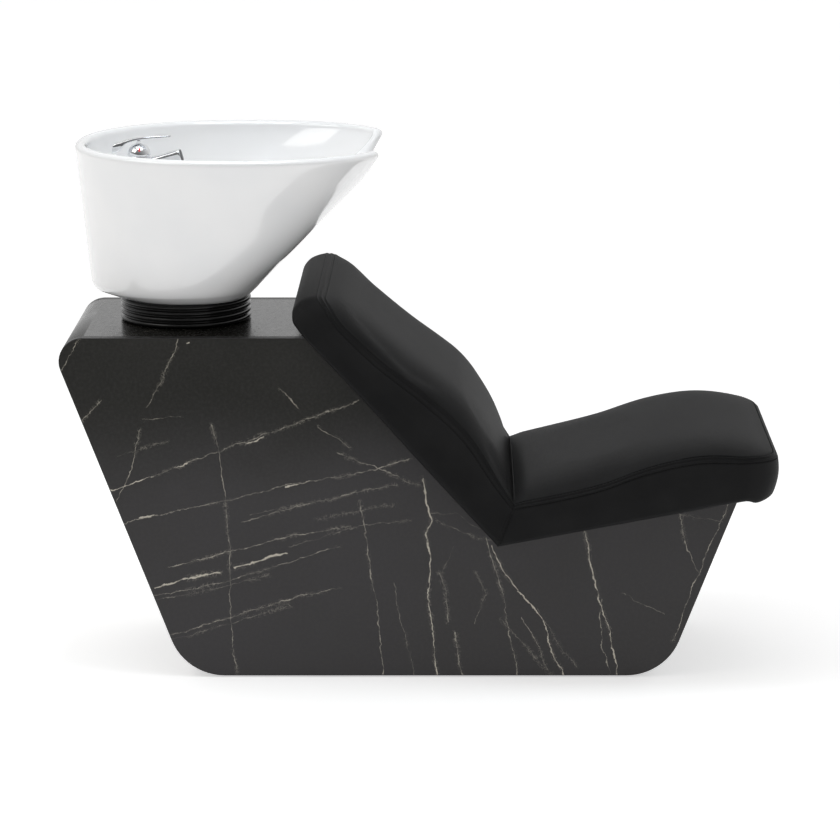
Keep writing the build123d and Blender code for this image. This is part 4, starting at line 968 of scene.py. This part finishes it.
for node, outline in (("back_cushion", BACK), ("seat_cushion", SEAT)):
    fine = Cushion(outline, FINE_EDGE, 9.0)
    points = fine.points
    points = points + carried(points, *inflate(node + "_cloth", outline))
    pulled = np.array([fine.groove(*flat) for flat in fine.flat])[:, None] * MM
    normals = vertex_normals(points, fine.faces)
    points = points - normals * pulled
    cover = make_piece(node.replace("cushion", "cover"), points, fine.faces, "black_upholstery")
    subdivide(cover)
    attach(cover, "base")
    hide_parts(node)
    bpy.context.view_layer.update()
    surface = BVHTree.FromObject(cover, bpy.context.evaluated_depsgraph_get())
    thread = stitches(node.replace("cushion", "stitching"), seam_paths(fine), surface)
    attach(thread, "base")

# ---- mixer (millimetres, made to metres at the end) ----
MIXER_X = -520.0
CAP_RADIUS, CAP_Z = 22.0, 944.0
LEVER_PIVOT_Z = 969.0


def loft(name, rings):
    """Closed chrome skin through rings of the same number of points."""
    points = [p for ring in rings for p in ring]
    return make_piece(name, np.array(points) * MM, tube_faces(len(rings), len(rings[0])), "chrome")


def revolve(name, profile, steps=64):
    """Body of revolution about the mixer's axis; the profile is (radius, height), top last."""
    turns = [2 * pi * k / steps for k in range(steps)]
    return loft(name, [[(MIXER_X + r * cos(t), r * sin(t), z) for t in turns] for r, z in profile])


def barrel_and_cap():
    """Barrel that stands on the deck, and the domed cap over the cartridge."""
    barrel = revolve("mixer_barrel", [
        (23.0, 908.2), (24.0, 909.0), (24.0, 910.2), (23.2, 911.2), (21.3, 911.8), (21.0, 912.6),
        (21.0, 925.0), (21.0, 940.0), (20.8, 942.6), (20.2, 943.6)])
    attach(barrel, "basin_carriage")
    turns = [radians(a) for a in np.linspace(6, 76, 22)]
    arc = [(CAP_RADIUS * cos(a), CAP_Z + CAP_RADIUS * sin(a)) for a in turns]
    cap = revolve("mixer_cap", [(21.4, 944.2), (CAP_RADIUS, 945.0)] + arc + [(4.6, 965.6)])
    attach(cap, "basin_carriage")
    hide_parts("mixer_dome")


def red_mark(rows=8, columns=5, half_width=1.6, low=24, high=45, turned=8):
    """Thin enamel patch on the cap's near side: an outer and an inner grid, joined round their edge."""
    points = []
    for lift in (0.28, 0.04):
        radius = CAP_RADIUS + lift
        for climb in np.linspace(low, high, rows):
            for step in np.linspace(-half_width, half_width, columns):
                turn = step / (CAP_RADIUS * cos(radians(climb))) + radians(turned)
                reach, z = radius * cos(radians(climb)), CAP_Z + radius * sin(radians(climb))
                points.append((MIXER_X + reach * sin(turn), -reach * cos(turn), z))
    size = rows * columns
    faces = grid_faces(rows, columns, False) + grid_faces(rows, columns, False, first=size)
    edge = list(range(columns)) + [columns * k + columns - 1 for k in range(1, rows)]
    edge += [size - columns + k for k in range(columns - 2, -1, -1)]
    edge += [columns * k for k in range(rows - 2, 0, -1)]
    for a, b in zip(edge, edge[1:] + edge[:1]):
        faces.append((a, b, b + size, a + size))
    mark = make_piece("heat_mark_enamel", np.array(points) * MM, faces, "red_mark")
    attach(mark, "basin_carriage")
    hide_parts("heat_mark")


def block_ring(centre, half_width, half_height, across, up, power=3.6, steps=32, taper=0.0):
    """One closed ring of a rounded-square section; taper draws its sides in towards the top."""
    ring = []
    for k in range(steps):
        c, s = cos(2 * pi * k / steps), sin(2 * pi * k / steps)
        u = half_width * abs(c) ** (2 / power) * (1 if c > 0 else -1)
        v = half_height * abs(s) ** (2 / power) * (1 if s > 0 else -1)
        u -= taper * (v + half_height) * (1 if c > 0 else -1)
        ring.append(np.array(centre) + np.array(across) * u + np.array(up) * v)
    return ring


# The hand spray's axis, and the mouth of the socket that it is docked in.
SPRAY_ANGLE = radians(15)
SPRAY_AXIS = np.array([cos(SPRAY_ANGLE), 0, sin(SPRAY_ANGLE)])
SPRAY_UP = np.array([-sin(SPRAY_ANGLE), 0, cos(SPRAY_ANGLE)])
DOCK = np.array([-498.5, 0, 927.2])
ACROSS, ALONG, UP = (0.0, 1.0, 0.0), (1.0, 0.0, 0.0), (0.0, 0.0, 1.0)
# Distance along the axis and half width of the sections.
SOCKET_STATIONS = [(-16, 12.6), (-6, 13.2), (1.5, 13.6), (3.2, 13.6), (3.9, 13.1), (3.9, 9.4)]
SPRAY_STATIONS = [(4.4, 9.5), (4.4, 12.8), (5.0, 13.6), (7.0, 14.0), (24, 14.2), (44, 14.7),
                  (54, 15.0), (57, 14.9), (58.2, 14.2), (58.6, 12.6)]
SPRAY_FLAT = 0.92
# The lever: an arched blade that thins to its tip, with a block that hangs behind the cap.
LEVER_STATIONS = [
    # x, top z, thickness, half width
    (-569.0, 951.0, 3.0, 10.0), (-568.6, 959.0, 11.0, 11.4), (-566.6, 965.8, 17.4, 11.9),
    (-561.0, 967.8, 18.8, 12.0), (-555.0, 969.2, 18.6, 12.0), (-550.5, 970.3, 14.6, 12.0),
    (-546.0, 971.9, 8.2, 12.0), (-540.0, 973.6, 6.4, 12.0), (-530.0, 976.0, 5.2, 12.0),
    (-517.0, 978.0, 4.6, 11.9), (-503.0, 979.2, 4.4, 11.4), (-490.0, 980.0, 4.2, 10.6),
    (-478.0, 980.4, 3.8, 9.4), (-468.0, 980.5, 3.4, 7.8), (-462.5, 980.5, 2.9, 5.6),
    (-460.0, 980.3, 2.2, 3.0)]
BLADE_THICK = 9.0


def spray_and_socket():
    """Rounded-square socket on the barrel, and the pull-out spray in it."""
    socket = loft("mixer_socket", [block_ring(DOCK + SPRAY_AXIS * s, r, r, ACROSS, SPRAY_UP)
                                   for s, r in SOCKET_STATIONS])
    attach(socket, "basin_carriage")
    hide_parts("mixer_body")
    spray = loft("hand_spray_shell", [block_ring(DOCK + SPRAY_AXIS * s, r, r * SPRAY_FLAT, ACROSS, SPRAY_UP)
                                      for s, r in SPRAY_STATIONS])
    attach(spray, "hand_spray")
    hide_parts("hand_spray")


def lever_and_cheeks():
    """The lever, and the two cheeks that hang from it over the stem's cross pin."""
    rings = []
    for x, z, thick, half in LEVER_STATIONS:
        taper = 0.35 if thick < BLADE_THICK else 0.1
        rings.append(block_ring((x, 0, z - thick / 2), half, thick / 2, ACROSS, UP, 5.0, 40, taper))
    lever = loft("mixer_handle", rings)
    subdivide(lever)
    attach(lever, "mixer_lever")
    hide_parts("mixer_lever")
    for side, label in ((-1, "near"), (1, "far")):
        rings = [block_ring((MIXER_X, side * y, LEVER_PIVOT_Z + 1.4), r, r + 1.4, ALONG, UP, 2.4)
                 for y, r in ((5.1, 2.7), (5.5, 3.1), (8.5, 3.1), (8.9, 2.7))]
        cheek = loft("lever_cheek_" + label, rings)
        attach(cheek, "mixer_lever")


barrel_and_cap()
red_mark()
spray_and_socket()
lever_and_cheeks()

# ---- carried-over CAD nodes: materials, and edge radii in metres ----
EDGE_SOFTENING = {
    "marble_laminate": 0.0006, "shell_laminate": 0.0008, "black_edging": 0.0003, "frame_steel": 0.0015,
    "zinc_steel": 0.0003, "plywood": 0.001, "stainless": 0.0003, "white_plastic": 0.0005,
    "seal_rubber": 0.0004, "nylon_black": 0.001, "bronze": 0.0002, "magnet": 0.0003}
for row in frame["record"]["subparts"]:
    node, slot = NODES[row["node"]], row["material_slot"]
    node.data.materials.clear()
    node.data.materials.append(MATERIALS[slot])
    if slot in EDGE_SOFTENING:
        soften(node, EDGE_SOFTENING[slot])

# ---- stage ----
# Brightness of the surroundings: a level, and a slope along each axis that makes it brighter behind,
# above and a little to the right.
WORLD_LEVEL = 0.44
WORLD_SLOPE = (0.06, 0.34, 0.14)
STAGE_SIZE = 14.0


def studio_floor():
    """Pale floor that glows a little, so that it melts into the white behind."""
    mesh = bpy.data.meshes.new("floor")
    corners = [(STAGE_SIZE * x, STAGE_SIZE * y, 0) for x, y in ((-1, -1), (1, -1), (1, 1), (-1, 1))]
    mesh.from_pydata(corners, [], [(0, 1, 2, 3)])
    floor = bpy.data.objects.new("floor", mesh)
    SCENE.collection.objects.link(floor)
    look = Shader("floor")
    look.set(base_color=look.mix(look.noise(2.0), (0.9, 0.9, 0.9), (0.92, 0.92, 0.92)), roughness=0.8,
             emission_color=(1.0, 1.0, 1.0, 1.0), emission_strength=0.52, specular_ior_level=0.1)
    floor.data.materials.append(look.material)


def studio_world():
    """Camera rays meet plain white, and all others the sloping brightness."""
    world = bpy.data.worlds.new("studio")
    SCENE.world = world
    world.use_nodes = True
    tree = world.node_tree
    tree.nodes.clear()
    out, chosen, path, seen, light, coords, slope, level = (
        tree.nodes.new("ShaderNode" + kind)
        for kind in ("OutputWorld", "MixShader", "LightPath", "Background", "Background", "TexCoord",
                     "VectorMath", "Math"))
    for background in (seen, light):
        background.inputs[0].default_value = (1, 1, 1, 1)
    seen.inputs[1].default_value = 1.0
    slope.operation = "DOT_PRODUCT"
    slope.inputs[1].default_value = WORLD_SLOPE
    level.operation = "ADD"
    level.inputs[1].default_value = WORLD_LEVEL
    for start, end in (
            (coords.outputs["Generated"], slope.inputs[0]), (slope.outputs["Value"], level.inputs[0]),
            (level.outputs[0], light.inputs[1]), (path.outputs["Is Camera Ray"], chosen.inputs[0]),
            (light.outputs[0], chosen.inputs[1]), (seen.outputs[0], chosen.inputs[2]),
            (chosen.outputs[0], out.inputs[0])):
        tree.links.new(start, end)


def softbox(name, place, aim, size, power, colour=(1, 1, 1)):
    """Rectangular area light at a place, turned to its aim."""
    data = bpy.data.lights.new(name, "AREA")
    data.shape = "RECTANGLE"
    data.size, data.size_y = size
    data.energy = power
    data.color = colour
    lamp = bpy.data.objects.new(name, data)
    lamp.location = place
    lamp.rotation_euler = (Vector(aim) - Vector(place)).to_track_quat("-Z", "Y").to_euler()
    SCENE.collection.objects.link(lamp)


studio_floor()
studio_world()
softbox("window", (-1.9, -0.85, 2.45), (-0.22, 0.23, 0.94), (1.5, 1.0), 11.5, (1.0, 0.975, 0.93))
softbox("top", (-0.15, -0.45, 3.1), (-0.1, 0, 0.7), (2.6, 1.4), 8.5)
softbox("bowl", (-0.35, -0.3, 1.95), (-0.33, 0.2, 0.92), (0.6, 0.5), 5.6, (0.9, 0.95, 1.0))
softbox("fill", (1.3, -2.6, 0.25), (-0.25, 0, 0.8), (1.6, 1.0), 3.5)
